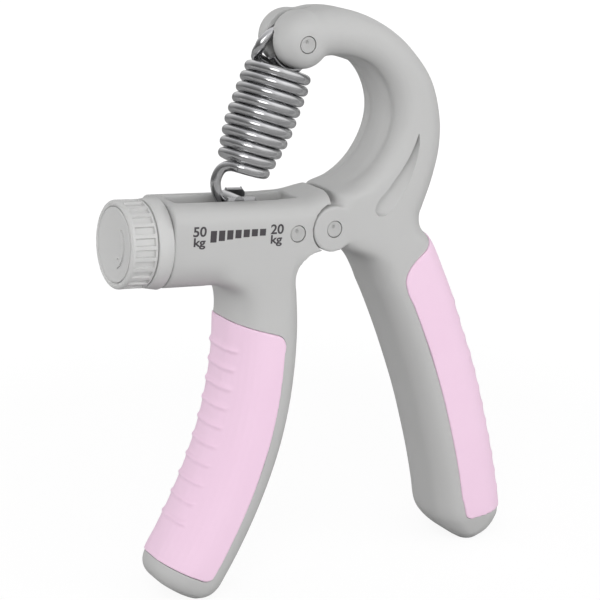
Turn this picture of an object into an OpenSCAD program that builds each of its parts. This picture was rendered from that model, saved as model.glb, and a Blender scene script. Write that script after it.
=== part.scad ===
// Adjustable hand grip strengthener.
// Everything is drawn about the handle hinge: X runs along the barrel away from the
// dial, Y through the thickness, Z up. stand() then leans the grip onto its two tips.

/* [Bodies] */
// Half of the thickness of both handles at the hinge
half_depth = 11; // [9:0.5:13]
// Half of the thickness of the spring head at the end of the arm
head_half_depth = 9.5; // [8.5:0.25:10.5]
// Width of the slot that splits the spring head into two lobes
head_slot_w = 4; // [3.6:0.1:5]
// Radius of the round spring head
head_r = 7.3; // [6.8:0.1:8]
// Angle that the barrel rises towards the dial when the grip stands on its tips
lean = 4.4; // [0:0.1:8]

/* [Barrel] */
// Height of the barrel's section
barrel_h = 22.4; // [21:0.1:24]
// Height of the barrel's centre, which the screw and the dial share, below the hinge axis
barrel_drop = 4.1; // [3.5:0.1:4.8]
// Length of the barrel from its end collar to the face by the arm
barrel_len = 45.1; // [42:0.5:56]
// Distance of that face from the hinge axis
barrel_face_gap = 1.2; // [0.8:0.1:2]
// Radius of the barrel's rounded top edges
barrel_top_r = 5; // [3:0.5:6]
// Radius of the barrel's rounded bottom edges
barrel_bottom_r = 9; // [5:0.5:10]
// Width of the open channel that guides the carriage
channel_w = 9.2; // [8:0.1:11]
// Thickness of the barrel wall at the dial end, which carries the screw
barrel_end_wall = 3; // [2.5:0.5:5]

/* [Hinge] */
// Radius of the two ears on the arm side
ear_r = 6.1; // [5.8:0.1:7]
// Thickness of each ear
ear_t = 5; // [4:0.25:6]
// Radius of the steel hinge pin
hinge_pin_r = 2; // [1.5:0.1:2.1]
// Gap round the ears and round the tongue between them
joint_gap = 0.3; // [0.2:0.05:0.6]
// Radial running clearance of every turning pin
running_gap = 0.05; // [0.02:0.01:0.1]
// Radius of the plugs that close the pin holes
plug_r = 2.3; // [2.1:0.1:3]
// Thickness of those plugs
plug_t = 1.6; // [1:0.1:2]

/* [Spring] */
// Diameter of the spring wire
wire_d = 2.6; // [2:0.1:2.8]
// Outer radius of the coil
coil_r = 8.6; // [7.5:0.1:9.4]
// Distance between the coils along the spring's axis
coil_pitch = 2.9; // [2.7:0.05:3]
// Number of coils between the two hooks
coil_turns = 10; // [8:1:10]
// Radius of the pin in the head that the upper hook pulls on
spring_pin_r = 1.7; // [1.4:0.1:2]
// Radius of the pin in the carriage that the lower hook pulls on
hook_pin_r = 1.4; // [1.2:0.1:1.6]

/* [Adjuster] */
// Outer radius of the dial
dial_r = 11.3; // [10:0.1:12]
// Length of the dial
dial_len = 7.2; // [6:0.1:9]
// Number of grip facets round the dial
dial_facets = 24; // [16:1:32]
// Radius of the lead screw over its thread
screw_r = 3; // [2.5:0.1:3.5]
// Radius of the plain journal at the screw's inner end, and of the screw under the cap
journal_r = 1.2; // [1:0.1:1.4]
// Radius of the pin that holds the end block in the barrel
block_pin_r = 1.6; // [1.2:0.1:1.8]
// Length of the end block
block_len = 5; // [4:0.5:5.5]
// Length of the carriage along the barrel
carriage_len = 9; // [8:0.5:10]
// Thickness of the carriage's sheet steel
carriage_sheet = 1; // [0.8:0.1:1.2]

/* [Grips] */
// Thickness of the soft grips
grip_t = 1.8; // [1.4:0.1:2.4]
// Height by which they stand proud of the handles
grip_proud = 0.4; // [0.2:0.1:0.8]

/* [Hidden] */
$fn = 48;
eps = 0.01;

plastic = [0.74, 0.74, 0.73];
dial_grey = [0.80, 0.80, 0.79];
rubber_pink = [0.90, 0.66, 0.80];
steel = [0.66, 0.67, 0.68];

// Places, as [x, z] about the hinge
screw_z = -barrel_drop;
barrel_x1 = -barrel_face_gap;
barrel_x0 = barrel_x1 - barrel_len;
barrel_top = screw_z + barrel_h / 2;
barrel_bottom = screw_z - barrel_h / 2;
spring_top_at = [-11.3, 47.7];
spring_foot_at = [-25.2, 6.8];
block_pin_at = [-10.9, -0.8];
head_at = [-10.3, 48.3];

// The grip stands on the two tips
foot_depth = 99;
middle_x = -0.9;

module stand() {
    translate([middle_x, 0, foot_depth])
        rotate([0, lean, 0])
            children();
}

// ---- Lofts -------------------------------------------------------------
// A station is [inner edge, outer edge, half depth, inner corner, outer corner]: one
// section of a limb, drawn on the line from its inner edge to its outer edge, both
// [x, z], with the radius of its corners at each edge. A sixth value, from 0 to 1, says
// how far the two grooves of the inner side have formed.

function catmull(a, b, c, d, t) =
    0.5 * (2 * b + (c - a) * t + (2 * a - 5 * b + 4 * c - d) * t * t
           + (3 * b - a - 3 * c + d) * t * t * t);

function smooth_value(list, k, i, t) =
    let (last = len(list) - 1)
    catmull(list[max(i - 1, 0)][k], list[i][k], list[i + 1][k],
            list[min(i + 2, last)][k], t);

function smooth_stations(list, steps) = [
    for (i = [0 : len(list) - 2], s = [0 : steps - 1])
        [for (k = [0 : len(list[0]) - 1]) smooth_value(list, k, i, s / steps)],
    list[len(list) - 1]
];

// A rounded rectangle as [along, depth] points, from 0 to w and from -h to h, with
// corners of radius a at 0 and of radius b at w
corner_steps = 4;
function rounded_rect(w, h, a, b) =
    let (ra = min(a, h - eps, w / 2), rb = min(b, h - eps, w - ra - eps))
    [
        for (c = [[w - rb, h - rb, 0, rb], [ra, h - ra, 90, ra],
                  [ra, ra - h, 180, ra], [w - rb, rb - h, 270, rb]],
             s = [0 : corner_steps])
            let (t = c[2] + 90 * s / corner_steps)
            [c[0] + c[3] * cos(t), c[1] + c[3] * sin(t)]
    ];

// The same outline with a groove along each inner corner and a bead between the two
groove_depth = 0.78;
groove_y = 5.5;
bead_half = 2.6;
bead_fall = 0.1;
function grooved(outline, share) =
    let (n = 2 * corner_steps + 1, y = outline[n][1] * (1 - share) + groove_y * share)
    [
        for (i = [0 : n - 1]) outline[i],
        [share * groove_depth, y], [share * bead_fall, bead_half],
        [share * bead_fall, -bead_half], [share * groove_depth, -y],
        for (i = [n + 2 : len(outline) - 1]) outline[i]
    ];

function ring(st) =
    let (run = st[1] - st[0], w = norm(run), u = run / w,
         plain = rounded_rect(w, st[2], st[3], st[4]))
    [for (p = len(st) > 5 ? grooved(plain, st[5]) : plain)
        [st[0][0] + u[0] * p[0], p[1], st[0][1] + u[1] * p[0]]];

// Which way round the rings run, seen along the loft
function ring_turn(a, b) =
    let (u = a[1] - a[0], p = b[0] + b[1] - a[0] - a[1])
    u[0] * p[1] - u[1] * p[0];

module loft(stations) {
    rings = [for (st = stations) ring(st)];
    n = len(rings[0]);
    last = len(rings) - 1;
    faces = [
        [for (i = [0 : n - 1]) i],
        [for (i = [n - 1 : -1 : 0]) last * n + i],
        for (r = [0 : last - 1], i = [0 : n - 1], half = [0, 1])
            let (j = (i + 1) % n, a = r * n, b = a + n)
            half == 0 ? [a + j, a + i, b + i] : [a + j, b + i, b + j]
    ];
    turn = ring_turn(stations[0], stations[1]);
    polyhedron(
        points = [for (r = rings) each r],
        faces = turn > 0 ? faces
            : [for (f = faces) [for (i = [len(f) - 1 : -1 : 0]) f[i]]]);
}

// The same limb with its outer edge and its faces moved out by grow
function grown(list, grow) = [
    for (st = list)
        let (u = (st[1] - st[0]) / norm(st[1] - st[0]))
        [st[0], st[1] + u * grow, st[2] + grow, st[3] + grow, st[4] + grow,
         if (len(st) > 5) st[5]]
];

// ---- Left handle -------------------------------------------------------

limb_in = 6.5;
limb_out = 10;
left_stations = [
    [[-5.5, -8], [-36, -8], 10.2, limb_in, 6],
    [[-7, -12.8], [-34.6, -13.4], 10.8, limb_in, 8],
    [[-7.4, -15.6], [-31.5, -15.7], half_depth, limb_in, 9.5],
    [[-7.2, -18], [-28.4, -17.6], half_depth, limb_in, limb_out],
    [[-6.8, -21], [-26.9, -21], half_depth, limb_in, limb_out],
    [[-6.2, -27], [-26.2, -27], half_depth, limb_in, limb_out],
    [[-6, -36], [-26.1, -35], half_depth, limb_in, limb_out],
    [[-6.6, -47], [-26.9, -45], half_depth, limb_in, limb_out],
    [[-8.4, -58.5], [-28.8, -55.5], half_depth, limb_in, limb_out],
    [[-11.4, -69.5], [-31.7, -65.5], half_depth, limb_in, limb_out],
    [[-15.3, -80], [-35.3, -75], half_depth, limb_in, limb_out],
    [[-19.4, -89], [-39.1, -83.3], half_depth, limb_in, limb_out],
    [[-22.6, -95.3], [-42, -89.6], 10.8, limb_in, 9],
    [[-24.4, -98.6], [-42.5, -93], 10.2, 6, 8],
    [[-26.8, -100.7], [-40.9, -95.9], 8.9, 5, 6.5],
    [[-30, -101.6], [-36.8, -98.7], 6.4, 3, 3.4]
];

// The soft grips leave a bare strip along each handle's inner edge
bare_strip = 6.1;
grip_recess = grip_t - grip_proud;
far = 60;

function unit(v) = v / norm(v);

// The strip's edge, with its points midway between the rings of the limb
function strip_edge(list) =
    let (edge = [for (st = list) st[0] + bare_strip * unit(st[1] - st[0])])
    [for (i = [1 : len(edge) - 1]) (edge[i - 1] + edge[i]) / 2];

// The arc of radius r that rounds the corner at q between p and s
function corner_arc(p, q, s, r, steps = 5) =
    let (a = unit(p - q), b = unit(s - q), half = acos(a * b) / 2,
         c = q + unit(a + b) * r / sin(half),
         from = q + a * r / tan(half) - c, to = q + b * r / tan(half) - c)
    [for (i = [0 : steps])
        let (k = i / steps, m = unit(from * (1 - k) + to * k)) c + m * r];

// A flat shape in the XZ plane, w thick about the middle of the grip
module plate(w) {
    rotate([90, 0, 0])
        linear_extrude(w, center = true)
            children();
}

// A cylinder along Y about the point at, between the depths y0 and y1
module cross_pin(at, r, y0, y1) {
    translate([at[0], y1, at[1]])
        rotate([90, 0, 0])
            cylinder(h = y1 - y0, r = r);
}

// A cylinder along the screw's axis
module on_screw(x0, x1, r) {
    translate([x0, 0, screw_z])
        rotate([0, 90, 0])
            cylinder(h = x1 - x0, r = r);
}

// What is drawn at the rear, at the front too
module both_sides() {
    children();
    mirror([0, 1, 0])
        children();
}

// The counterbores for the two plugs of a pin in a body half_y thick
module plug_holes(at, half_y) {
    both_sides() cross_pin(at, plug_r, half_y - plug_t, far);
}

// One plug, a little below the surface, at the front for side -1 and at the rear for 1
plug_sink = 0.15;
module plug(at, half_y, side) {
    mirror([0, side < 0 ? 1 : 0, 0])
        cross_pin(at, plug_r, half_y - plug_t, half_y - plug_sink);
}

// The rings of a limb from station first on, so that every piece has the same rings
limb_steps = 2;
function limb_rings(list, first = 0) =
    let (all = smooth_stations(list, limb_steps))
    [for (i = [first * limb_steps : len(all) - 1]) all[i]];

left_grip_first = 3;
module left_limb(grow = 0, first = 0) {
    loft(grown(limb_rings(left_stations, first), grow));
}

left_top_corner = [-11.7, -28.4];
left_top_slope = 0.265;
left_bottom_corner = [-29.6, -95.3];
left_bottom_slope = 0.464;
corner_room = 5;
top_corner_r = 3.5;
bottom_corner_r = 2.5;
module left_grip_area() {
    side = [for (p = strip_edge(limb_rings(left_stations)))
        if (p[1] < left_top_corner[1] - corner_room
            && p[1] > left_bottom_corner[1] + corner_room) p];
    top_far = [-far, left_top_corner[1] + left_top_slope * (far + left_top_corner[0])];
    bottom_far = [-far, left_bottom_corner[1] + left_bottom_slope * (far + left_bottom_corner[0])];
    plate(4 * half_depth)
        polygon(concat(
            [top_far],
            corner_arc(top_far, left_top_corner, side[0], top_corner_r),
            side,
            corner_arc(side[len(side) - 1], left_bottom_corner, bottom_far, bottom_corner_r),
            [bottom_far]));
}

module rounded_barrel_section() {
    w = 2 * half_depth;
    x = half_depth;
    for (s = [-1, 1]) {
        translate([s * (x - barrel_top_r), barrel_top - barrel_top_r])
            circle(barrel_top_r);
        translate([s * (x - barrel_bottom_r), barrel_bottom + barrel_bottom_r])
            circle(barrel_bottom_r);
    }
    translate([-x, barrel_bottom + barrel_bottom_r])
        square([w, barrel_h - barrel_top_r - barrel_bottom_r]);
    translate([barrel_top_r - x, barrel_top - 2 * barrel_top_r])
        square([w - 2 * barrel_top_r, 2 * barrel_top_r]);
    translate([barrel_bottom_r - x, barrel_bottom])
        square([w - 2 * barrel_bottom_r, 2 * barrel_bottom_r]);
}

module barrel_shell() {
    translate([barrel_x0, 0, 0])
        rotate([90, 0, 90])
            linear_extrude(barrel_len)
                rounded_barrel_section();
}

// The top of the barrel rises to meet the arm
nose_stations = [
    for (p = [[-17, 6.9], [-12.5, 7.3], [-8.5, 7.5], [-5.5, 8], [-3.4, 8.7],
              [barrel_x1, 9.2]])
        [[p[0], -3], p, half_depth - 0.1, 5.5, 5.5]
];

tongue_r = ear_r;
ear_y = half_depth - ear_t;
channel_x0 = barrel_x0 + barrel_end_wall;
channel_x1 = -8.2;
channel_floor = screw_z - channel_w / 2;
hollow_at = [-3, -12.5];
hollow_r = 6.5;
hollow_h = 10.4;

module left_handle() {
    color(plastic) stand() difference() {
        union() {
            barrel_shell();
            loft(smooth_stations(nose_stations, 1));
            cross_pin([0, 0], tongue_r, joint_gap - ear_y, ear_y - joint_gap);
            plate(2 * (ear_y - joint_gap))
                translate([-9, -tongue_r])
                    square([9, 2 * tongue_r]);
            difference() {
                left_limb();
                difference() {
                    left_grip_area();
                    left_limb(-grip_recess, left_grip_first);
                }
            }
        }
        // Recess for each ear, and the round hollow under the hinge
        both_sides() cross_pin([0, 0], ear_r + joint_gap, ear_y, far);
        cross_pin(hollow_at, hollow_r, -far, far);
        translate([hollow_at[0], -far, hollow_at[1] - hollow_r])
            cube([far, 2 * far, hollow_h]);
        cross_pin([0, 0], hinge_pin_r + running_gap, -far, far);
        // Open channel with the screw's bore at the dial end
        translate([channel_x0, -channel_w / 2, channel_floor])
            cube([channel_x1 - channel_x0, channel_w, far]);
        on_screw(barrel_x0 - 1, channel_x0 + 1, screw_r + running_gap);
        cross_pin(block_pin_at, block_pin_r, -far, far);
        plug_holes(block_pin_at, half_depth);
    }
}

module left_grip() {
    color(rubber_pink) stand() difference() {
        intersection() {
            left_limb(grip_proud, left_grip_first);
            left_grip_area();
        }
        left_limb(-grip_recess, left_grip_first);
    }
}

// ---- Right handle ------------------------------------------------------
// From the spring head over the arm, past the hinge and down to the tip

arm_in = 6;
arm_out = 6.5;
right_sections = [
    [[-10.6, 41.2], [-10, 55.4], head_half_depth - 0.15, arm_in, arm_out],
    [[-4, 44.1], [-4, 56.7], 9.7, arm_in, arm_out],
    [[3, 43.9], [4.5, 56], 10.2, arm_in, arm_out],
    [[9.6, 41.8], [13.4, 52.7], 10.6, arm_in, arm_out],
    [[14.2, 37.4], [21.8, 47.1], 10.9, arm_in, arm_out],
    [[16.8, 31.6], [28.9, 39.2], half_depth, arm_in, arm_out],
    [[16.9, 26], [32.9, 29.4], half_depth, arm_in, 7],
    [[15, 20.4], [33.9, 20.5], half_depth, arm_in, 7.5],
    [[11.3, 15.6], [32.6, 12.3], half_depth, arm_in, 7.5],
    [[6.2, 12.2], [30.7, 5.8], half_depth, arm_in, 7.5],
    [[0.6, 9.9], [29.6, 2.4], half_depth, arm_in, 7.5],
    [[-0.6, 8.2], [29.6, 1], half_depth, arm_in, 7.5],
    [[-0.6, 5], [29.9, -0.6], half_depth, 4, 7.5],
    [[0.3, -1.5], [31, -2.2], half_depth, 4, 7.5],
    [[5, -6.2], [33, -4], half_depth, 5, 7.5],
    [[11.5, -8.8], [35.2, -6.6], half_depth, arm_in, 8],
    [[14.6, -12], [37.4, -10], half_depth, limb_in, 8.5],
    [[17, -16], [39.5, -13.5], half_depth, limb_in, 9],
    [[21, -22.9], [43, -20], half_depth, limb_in, 9],
    [[26.1, -32.9], [47.5, -30], half_depth, limb_in, 9],
    [[30.7, -42.9], [52, -39.5], half_depth, limb_in, 9],
    [[34.5, -51.9], [55.8, -49], half_depth, limb_in, 9],
    [[37.9, -61.3], [59, -58], half_depth, limb_in, 9],
    [[40.9, -70.3], [62.2, -67.5], half_depth, limb_in, 9],
    [[43.4, -79], [65, -77], half_depth, limb_in, 9],
    [[45.2, -86], [67, -85], half_depth, limb_in, 9],
    [[47.6, -89.7], [66.8, -88.3], 10.2, 6, 8],
    [[51.4, -92.9], [64.5, -91.9], 8.9, 5, 6.5],
    [[55.2, -95.05], [60.5, -94.55], 6.4, 3, 3.4]
];

// How far the arm's grooves have formed at its first sections, and nowhere below them
groove_share = [0, 0.1, 0.8, 1, 1, 1, 1, 1, 1, 0.9, 0.2];
right_stations = [
    for (i = [0 : len(right_sections) - 1])
        concat(right_sections[i], i < len(groove_share) ? groove_share[i] : 0)
];

right_grip_first = 11;
module right_limb(grow = 0, first = 0) {
    loft(grown(limb_rings(right_stations, first), grow));
}

function smooth_line(list, steps) = [
    for (i = [0 : len(list) - 2], s = [0 : steps - 1])
        catmull(list[max(i - 1, 0)], list[i], list[i + 1],
                list[min(i + 2, len(list) - 1)], s / steps),
    list[len(list) - 1]
];

right_grip_top = [[far, 0], [34.5, 0], [33, -2.5], [31, -5.8], [27.5, -8.7], [24.7, -12],
                  [23.8, -15.3], [25, -19]];
right_side_top = -21;
right_bottom_corner = [52.4, -87.2];
right_bottom_slope = 0.16;
right_far = 80;
module right_grip_area() {
    top = smooth_line(right_grip_top, 2);
    side = [for (p = strip_edge(limb_rings(right_stations)))
        if (p[1] < right_side_top && p[1] > right_bottom_corner[1] + corner_room) p];
    bottom_far = [right_far,
                  right_bottom_corner[1] + right_bottom_slope * (right_far - right_bottom_corner[0])];
    plate(4 * half_depth)
        polygon(concat(
            [[right_far, 0]], top, side,
            corner_arc(side[len(side) - 1], right_bottom_corner, bottom_far, bottom_corner_r),
            [bottom_far]));
}

// The round head that the spring pin crosses, flat in the middle with rounded rims
head_rim = 5.5;
module spring_head() {
    flat_r = head_r - head_rim;
    straight = head_half_depth - head_rim;
    translate([head_at[0], 0, head_at[1]])
        rotate([90, 0, 0])
            rotate_extrude() {
                translate([0, -head_half_depth])
                    square([flat_r, 2 * head_half_depth]);
                translate([0, -straight])
                    square([head_r, 2 * straight]);
                for (s = [-1, 1])
                    intersection() {
                        translate([flat_r, s * straight])
                            circle(head_rim);
                        translate([0, -head_half_depth])
                            square([head_r, 2 * head_half_depth]);
                    }
            }
}

head_slot = [[-20, 38], [-8, 38], [-6.4, 43], [-5.6, 47.7], [-6, 52], [-4, 56],
             [-4, 60], [-20, 60]];
scoop_line = [[13.6, 2.8], [15.8, 3.2], [18.6, 5.8], [21.2, 10], [23.3, 15.3], [24.1, 20],
              [23.5, 24.5], [21, 18], [18, 13.5], [15, 9.5], [12.6, 7], [12, 4.6],
              [13.6, 2.8]];
scoop_deep = 1.5;
scoop_shallow = 0.4;
scoop_tip = 24.5;

// A teardrop scoop in each face of the arm, deepest at its round lower end
module arm_scoop() {
    intersection() {
        plate(2 * far)
            polygon(smooth_line(scoop_line, 3));
        rotate([atan((scoop_deep - scoop_shallow) / scoop_tip), 0, 0])
            translate([0, half_depth - scoop_deep, -far])
                cube([far, far, 2 * far]);
    }
}

module right_handle() {
    color(plastic) stand() difference() {
        union() {
            difference() {
                right_limb();
                difference() {
                    right_grip_area();
                    right_limb(-grip_recess, right_grip_first);
                }
            }
            spring_head();
            both_sides() cross_pin([0, 0], ear_r, ear_y, half_depth);
        }
        // Fork for the tongue of the left handle
        cross_pin([0, 0], tongue_r + joint_gap, -ear_y, ear_y);
        cross_pin([0, 0], hinge_pin_r, -far, far);
        plug_holes([0, 0], half_depth);
        plate(head_slot_w)
            polygon(head_slot);
        cross_pin(spring_top_at, spring_pin_r + running_gap, -far, far);
        plug_holes(spring_top_at, head_half_depth);
        both_sides() arm_scoop();
    }
}

module right_grip() {
    color(rubber_pink) stand() difference() {
        intersection() {
            right_limb(grip_proud, right_grip_first);
            right_grip_area();
        }
        right_limb(-grip_recess, right_grip_first);
    }
}

// ---- Pins and plugs ----------------------------------------------------

module hinge_pin() {
    y = half_depth - plug_t;
    color(steel) stand() cross_pin([0, 0], hinge_pin_r, -y, y);
}

module spring_pin() {
    y = head_half_depth - plug_t - running_gap;
    color(steel) stand() cross_pin(spring_top_at, spring_pin_r, -y, y);
}

module block_pin() {
    y = half_depth - plug_t;
    color(steel) stand() cross_pin(block_pin_at, block_pin_r, -y, y);
}

module hinge_plug_front() { color(dial_grey) stand() plug([0, 0], half_depth, -1); }
module hinge_plug_rear() { color(dial_grey) stand() plug([0, 0], half_depth, 1); }
module block_plug_front() { color(dial_grey) stand() plug(block_pin_at, half_depth, -1); }
module block_plug_rear() { color(dial_grey) stand() plug(block_pin_at, half_depth, 1); }
module spring_plug_front() { color(dial_grey) stand() plug(spring_top_at, head_half_depth, -1); }
module spring_plug_rear() { color(dial_grey) stand() plug(spring_top_at, head_half_depth, 1); }

// ---- Adjuster ----------------------------------------------------------

collar_len = 4.1;
collar_front_r = dial_r + 0.05;
collar_back_r = barrel_h / 2 + 0.7;
collar_x0 = barrel_x0 - collar_len;
dial_gap = 0.3;
dial_x1 = collar_x0 - dial_gap;
dial_x0 = dial_x1 - dial_len;
cap_r = dial_r - 1.6;
cap_t = 1.5;
washer_t = 0.9;
washer_r = 5.5;
washer_recess = 0.7;
head_space_r = 3.6;
head_space = 1.8;
hub_r = 5.8;
dial_wall = 2;
dial_pocket_depth = 0.55;
dial_rib_w = 0.95;
dial_rim = 1.5;
pocket_x0 = dial_x0 + dial_rim;
pocket_x1 = dial_x1 - dial_rim;
dial_round = 0.9;
web_t = 1.6;
block_x0 = channel_x1 - block_len;
block_top = 3.2;
slide_gap = 0.3;
screw_x0 = dial_x0 + cap_t + head_space;
journal_x0 = block_x0 - slide_gap;
journal_depth = 3;
journal_x1 = block_x0 + journal_depth;
screw_hole_depth = 8;

module end_collar() {
    color(plastic) stand() difference() {
        translate([collar_x0, 0, screw_z])
            rotate([0, 90, 0])
                cylinder(h = collar_len, r1 = collar_front_r, r2 = collar_back_r);
        on_screw(collar_x0 - 1, barrel_x0 + 1, screw_r + running_gap);
    }
}

module end_block() {
    color(plastic) stand() difference() {
        translate([block_x0, -channel_w / 2, channel_floor])
            cube([block_len, channel_w, block_top - channel_floor]);
        on_screw(block_x0 - 1, journal_x1 + running_gap, journal_r + running_gap);
        cross_pin(block_pin_at, block_pin_r, -far, far);
    }
}

// Rim, pockets between ribs, second rim: one turned body with the pockets cut round it
module dial() {
    color(dial_grey) stand() difference() {
        translate([dial_x0, 0, screw_z])
            rotate([0, 90, 0])
                rotate_extrude() {
                    square([dial_r - dial_round, dial_len]);
                    translate([0, dial_round])
                        square([dial_r, dial_len - dial_round]);
                    translate([dial_r - dial_round, dial_round])
                        circle(dial_round);
                }
        for (i = [0 : dial_facets - 1])
            translate([0, 0, screw_z])
                rotate([360 * i / dial_facets, 0, 0])
                    dial_pocket();
        // Recess for the cap, space for the screw's head and hollow round the hub
        on_screw(dial_x0 - 1, dial_x0 + cap_t, cap_r);
        on_screw(dial_x0, screw_x0, head_space_r);
        difference() {
            on_screw(dial_x0 + cap_t + web_t, dial_x1 + 1, dial_r - dial_wall);
            on_screw(dial_x0, dial_x1 + 2, hub_r);
        }
        on_screw(dial_x0, dial_x1 + 1, screw_r);
        on_screw(dial_x1 - washer_recess, dial_x1 + 1, hub_r + 1);
    }
}

module dial_pocket() {
    w = 2 * PI * dial_r / dial_facets - dial_rib_w;
    translate([pocket_x0, -w / 2, dial_r - dial_pocket_depth])
        cube([pocket_x1 - pocket_x0, w, 2]);
}

cap_sink = 0.05;
module dial_cap() {
    color(dial_grey) stand() on_screw(dial_x0 + cap_sink, dial_x0 + cap_t, cap_r);
}

module dial_screw() {
    screw_head_r = 2.9;
    screw_head_t = 1.5;
    color(steel) stand() {
        on_screw(screw_x0 - screw_head_t, screw_x0, screw_head_r);
        on_screw(screw_x0 - eps, screw_x0 + screw_hole_depth, journal_r);
    }
}

module lead_screw() {
    color(steel) stand() difference() {
        union() {
            on_screw(screw_x0, journal_x0, screw_r);
            on_screw(journal_x0 - eps, journal_x1, journal_r);
        }
        on_screw(screw_x0 - 1, screw_x0 + screw_hole_depth, journal_r);
    }
}

module thrust_washer() {
    x0 = dial_x1 - washer_recess;
    color(steel) stand() difference() {
        on_screw(x0, x0 + washer_t, washer_r);
        on_screw(x0 - 1, x0 + washer_t + 1, screw_r);
    }
}

// A folded steel bracket: two cheeks joined by a web under the screw
carriage_x0 = spring_foot_at[0] - 3.3;
carriage_x1 = carriage_x0 + carriage_len;
carriage_top = spring_foot_at[1] + 2;
cheek_front = [1.2, 1.6];
cheek_back = [1.9, 3.4];
carriage_y = channel_w / 2 - slide_gap;
carriage_base = channel_floor + slide_gap;
nut_inset = 1;
nut_wall = 0.7;
nut_x0 = carriage_x0 + nut_inset;
nut_x1 = carriage_x1 - nut_inset;
nut_top = screw_z + screw_r + nut_wall;

module carriage() {
    color(steel) stand() difference() {
        plate(2 * carriage_y)
            polygon([[carriage_x0, carriage_base], [carriage_x1, carriage_base],
                     [carriage_x1, carriage_top - cheek_back[1]],
                     [carriage_x1 - cheek_back[0], carriage_top],
                     [carriage_x0 + cheek_front[0], carriage_top],
                     [carriage_x0, carriage_top - cheek_front[1]]]);
        translate([carriage_x0 - 1, carriage_sheet - carriage_y,
                   carriage_base + carriage_sheet])
            cube([carriage_len + 2, 2 * (carriage_y - carriage_sheet), far]);
        cross_pin(spring_foot_at, hook_pin_r, -far, far);
    }
}

module carriage_nut() {
    y = carriage_y - carriage_sheet;
    color(steel) stand() difference() {
        translate([nut_x0, -y, carriage_base + carriage_sheet])
            cube([nut_x1 - nut_x0, 2 * y, nut_top - carriage_base - carriage_sheet]);
        on_screw(nut_x0 - 1, nut_x1 + 1, screw_r + running_gap);
    }
}

module hook_pin() {
    color(steel) stand() cross_pin(spring_foot_at, hook_pin_r, -carriage_y, carriage_y);
}

// ---- Spring ------------------------------------------------------------
// Its path is drawn from the lower pin to the upper pin, as [along, across, depth]

spring_run = spring_top_at - spring_foot_at;
spring_along = unit(spring_run);
spring_across = [spring_along[1], -spring_along[0]];
coil_wire_r = coil_r - wire_d / 2;
coil_s0 = 7.7;
coil_end_angle = 50;
turn_rings = 14;
wire_sides = 8;

// The coil narrows by these amounts over these parts of its length, at its lower and
// at its upper end
low_taper = 2.6;
low_taper_part = 0.45;
top_taper = 0.8;
top_taper_part = 0.18;
function eased(x) = pow(max(0, x), 1.5);
function coil_radius(k) =
    coil_wire_r - low_taper * eased(1 - k / low_taper_part)
                - top_taper * eased(1 - (1 - k) / top_taper_part);

function coil_point(angle) =
    let (r = coil_radius(angle / 360 / coil_turns))
    [coil_s0 + coil_pitch * angle / 360, -r * cos(angle), -r * sin(angle)];

function loop_point(at, r, angle) = [at[0] + r * cos(angle), at[1] + r * sin(angle), 0];

coil_s1 = coil_s0 + coil_pitch * coil_turns;
low_loop_at = [0.85, 0];
low_loop_r = hook_pin_r + wire_d / 2 + 0.9;
top_loop_at = [norm(spring_run) - 0.75, -0.35];
top_loop_r = spring_pin_r + wire_d / 2 + 1.1;

low_leg = [
    for (a = [70 : 20 : 230]) loop_point(low_loop_at, low_loop_r, a),
    [0.2, -4.7, 0], [2.6, -6.1, 0], [5, -6.4, -0.3], [6.8, -6, -1.1], [7.8, -4.9, -2.5]
];
coil_path = [
    for (a = [coil_end_angle : 360 / turn_rings : 360 * coil_turns - coil_end_angle])
        coil_point(a)
];
top_leg = [
    [coil_s1, -5.9, 3.2], [coil_s1 + 0.6, -7.1, 1.4], [coil_s1 + 1.9, -7.5, 0.3],
    [coil_s1 + 3.6, -7.4, 0], [coil_s1 + 6.2, -5.9, 0],
    for (a = [-40 : 20 : 190]) loop_point(top_loop_at, top_loop_r, a),
    [top_loop_at[0] - 4, top_loop_at[1] - 3, 0]
];

function placed(p) =
    let (q = spring_foot_at + spring_along * p[0] + spring_across * p[1])
    [q[0], p[2], q[1]];

leg_steps = 2;
low_part = smooth_line(concat(low_leg, [coil_path[0], coil_path[1]]), leg_steps);
low_count = len(low_leg) * leg_steps;
top_part = smooth_line(concat([coil_path[len(coil_path) - 2], coil_path[len(coil_path) - 1]],
                              top_leg), leg_steps);
wire_path = [
    for (i = [0 : low_count - 1]) placed(low_part[i]),
    for (p = coil_path) placed(p),
    for (i = [leg_steps + 1 : len(top_part) - 1]) placed(top_part[i])
];
coil_first = low_count;
coil_last = low_count + len(coil_path) - 1;

wire_last = len(wire_path) - 1;
wire_tangent = [
    for (i = [0 : wire_last])
        unit(wire_path[min(i + 1, wire_last)] - wire_path[max(i - 1, 0)])
];

// The ring's first direction is carried along the wire without twist
function across(v, t) = unit(v - (v * t) * t);
wire_side = [
    for (i = 0, v = across([0, 1, 0], wire_tangent[0]);
         i <= wire_last;
         i = i + 1, v = i > wire_last ? v : across(v, wire_tangent[i]))
        v
];

module wire(first, last) {
    n = wire_sides;
    rows = last - first;
    points = [
        for (i = [first : last], k = [0 : n - 1])
            let (t = wire_tangent[i], u = wire_side[i], w = cross(t, u), a = 360 * k / n)
            wire_path[i] + wire_d / 2 * (u * cos(a) + w * sin(a))
    ];
    polyhedron(points = points, faces = [
        [for (k = [n - 1 : -1 : 0]) k],
        [for (k = [0 : n - 1]) rows * n + k],
        for (i = [0 : rows - 1], k = [0 : n - 1], half = [0, 1])
            let (a = i * n, b = a + n, j = (k + 1) % n)
            half == 0 ? [a + k, a + j, b + j] : [a + k, b + j, b + k]
    ]);
}

module spring_bottom_hook() { color(steel) stand() wire(0, coil_first); }
module spring_coil() { color(steel) stand() wire(coil_first, coil_last); }
module spring_top_hook() { color(steel) stand() wire(coil_last, wire_last); }

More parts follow.
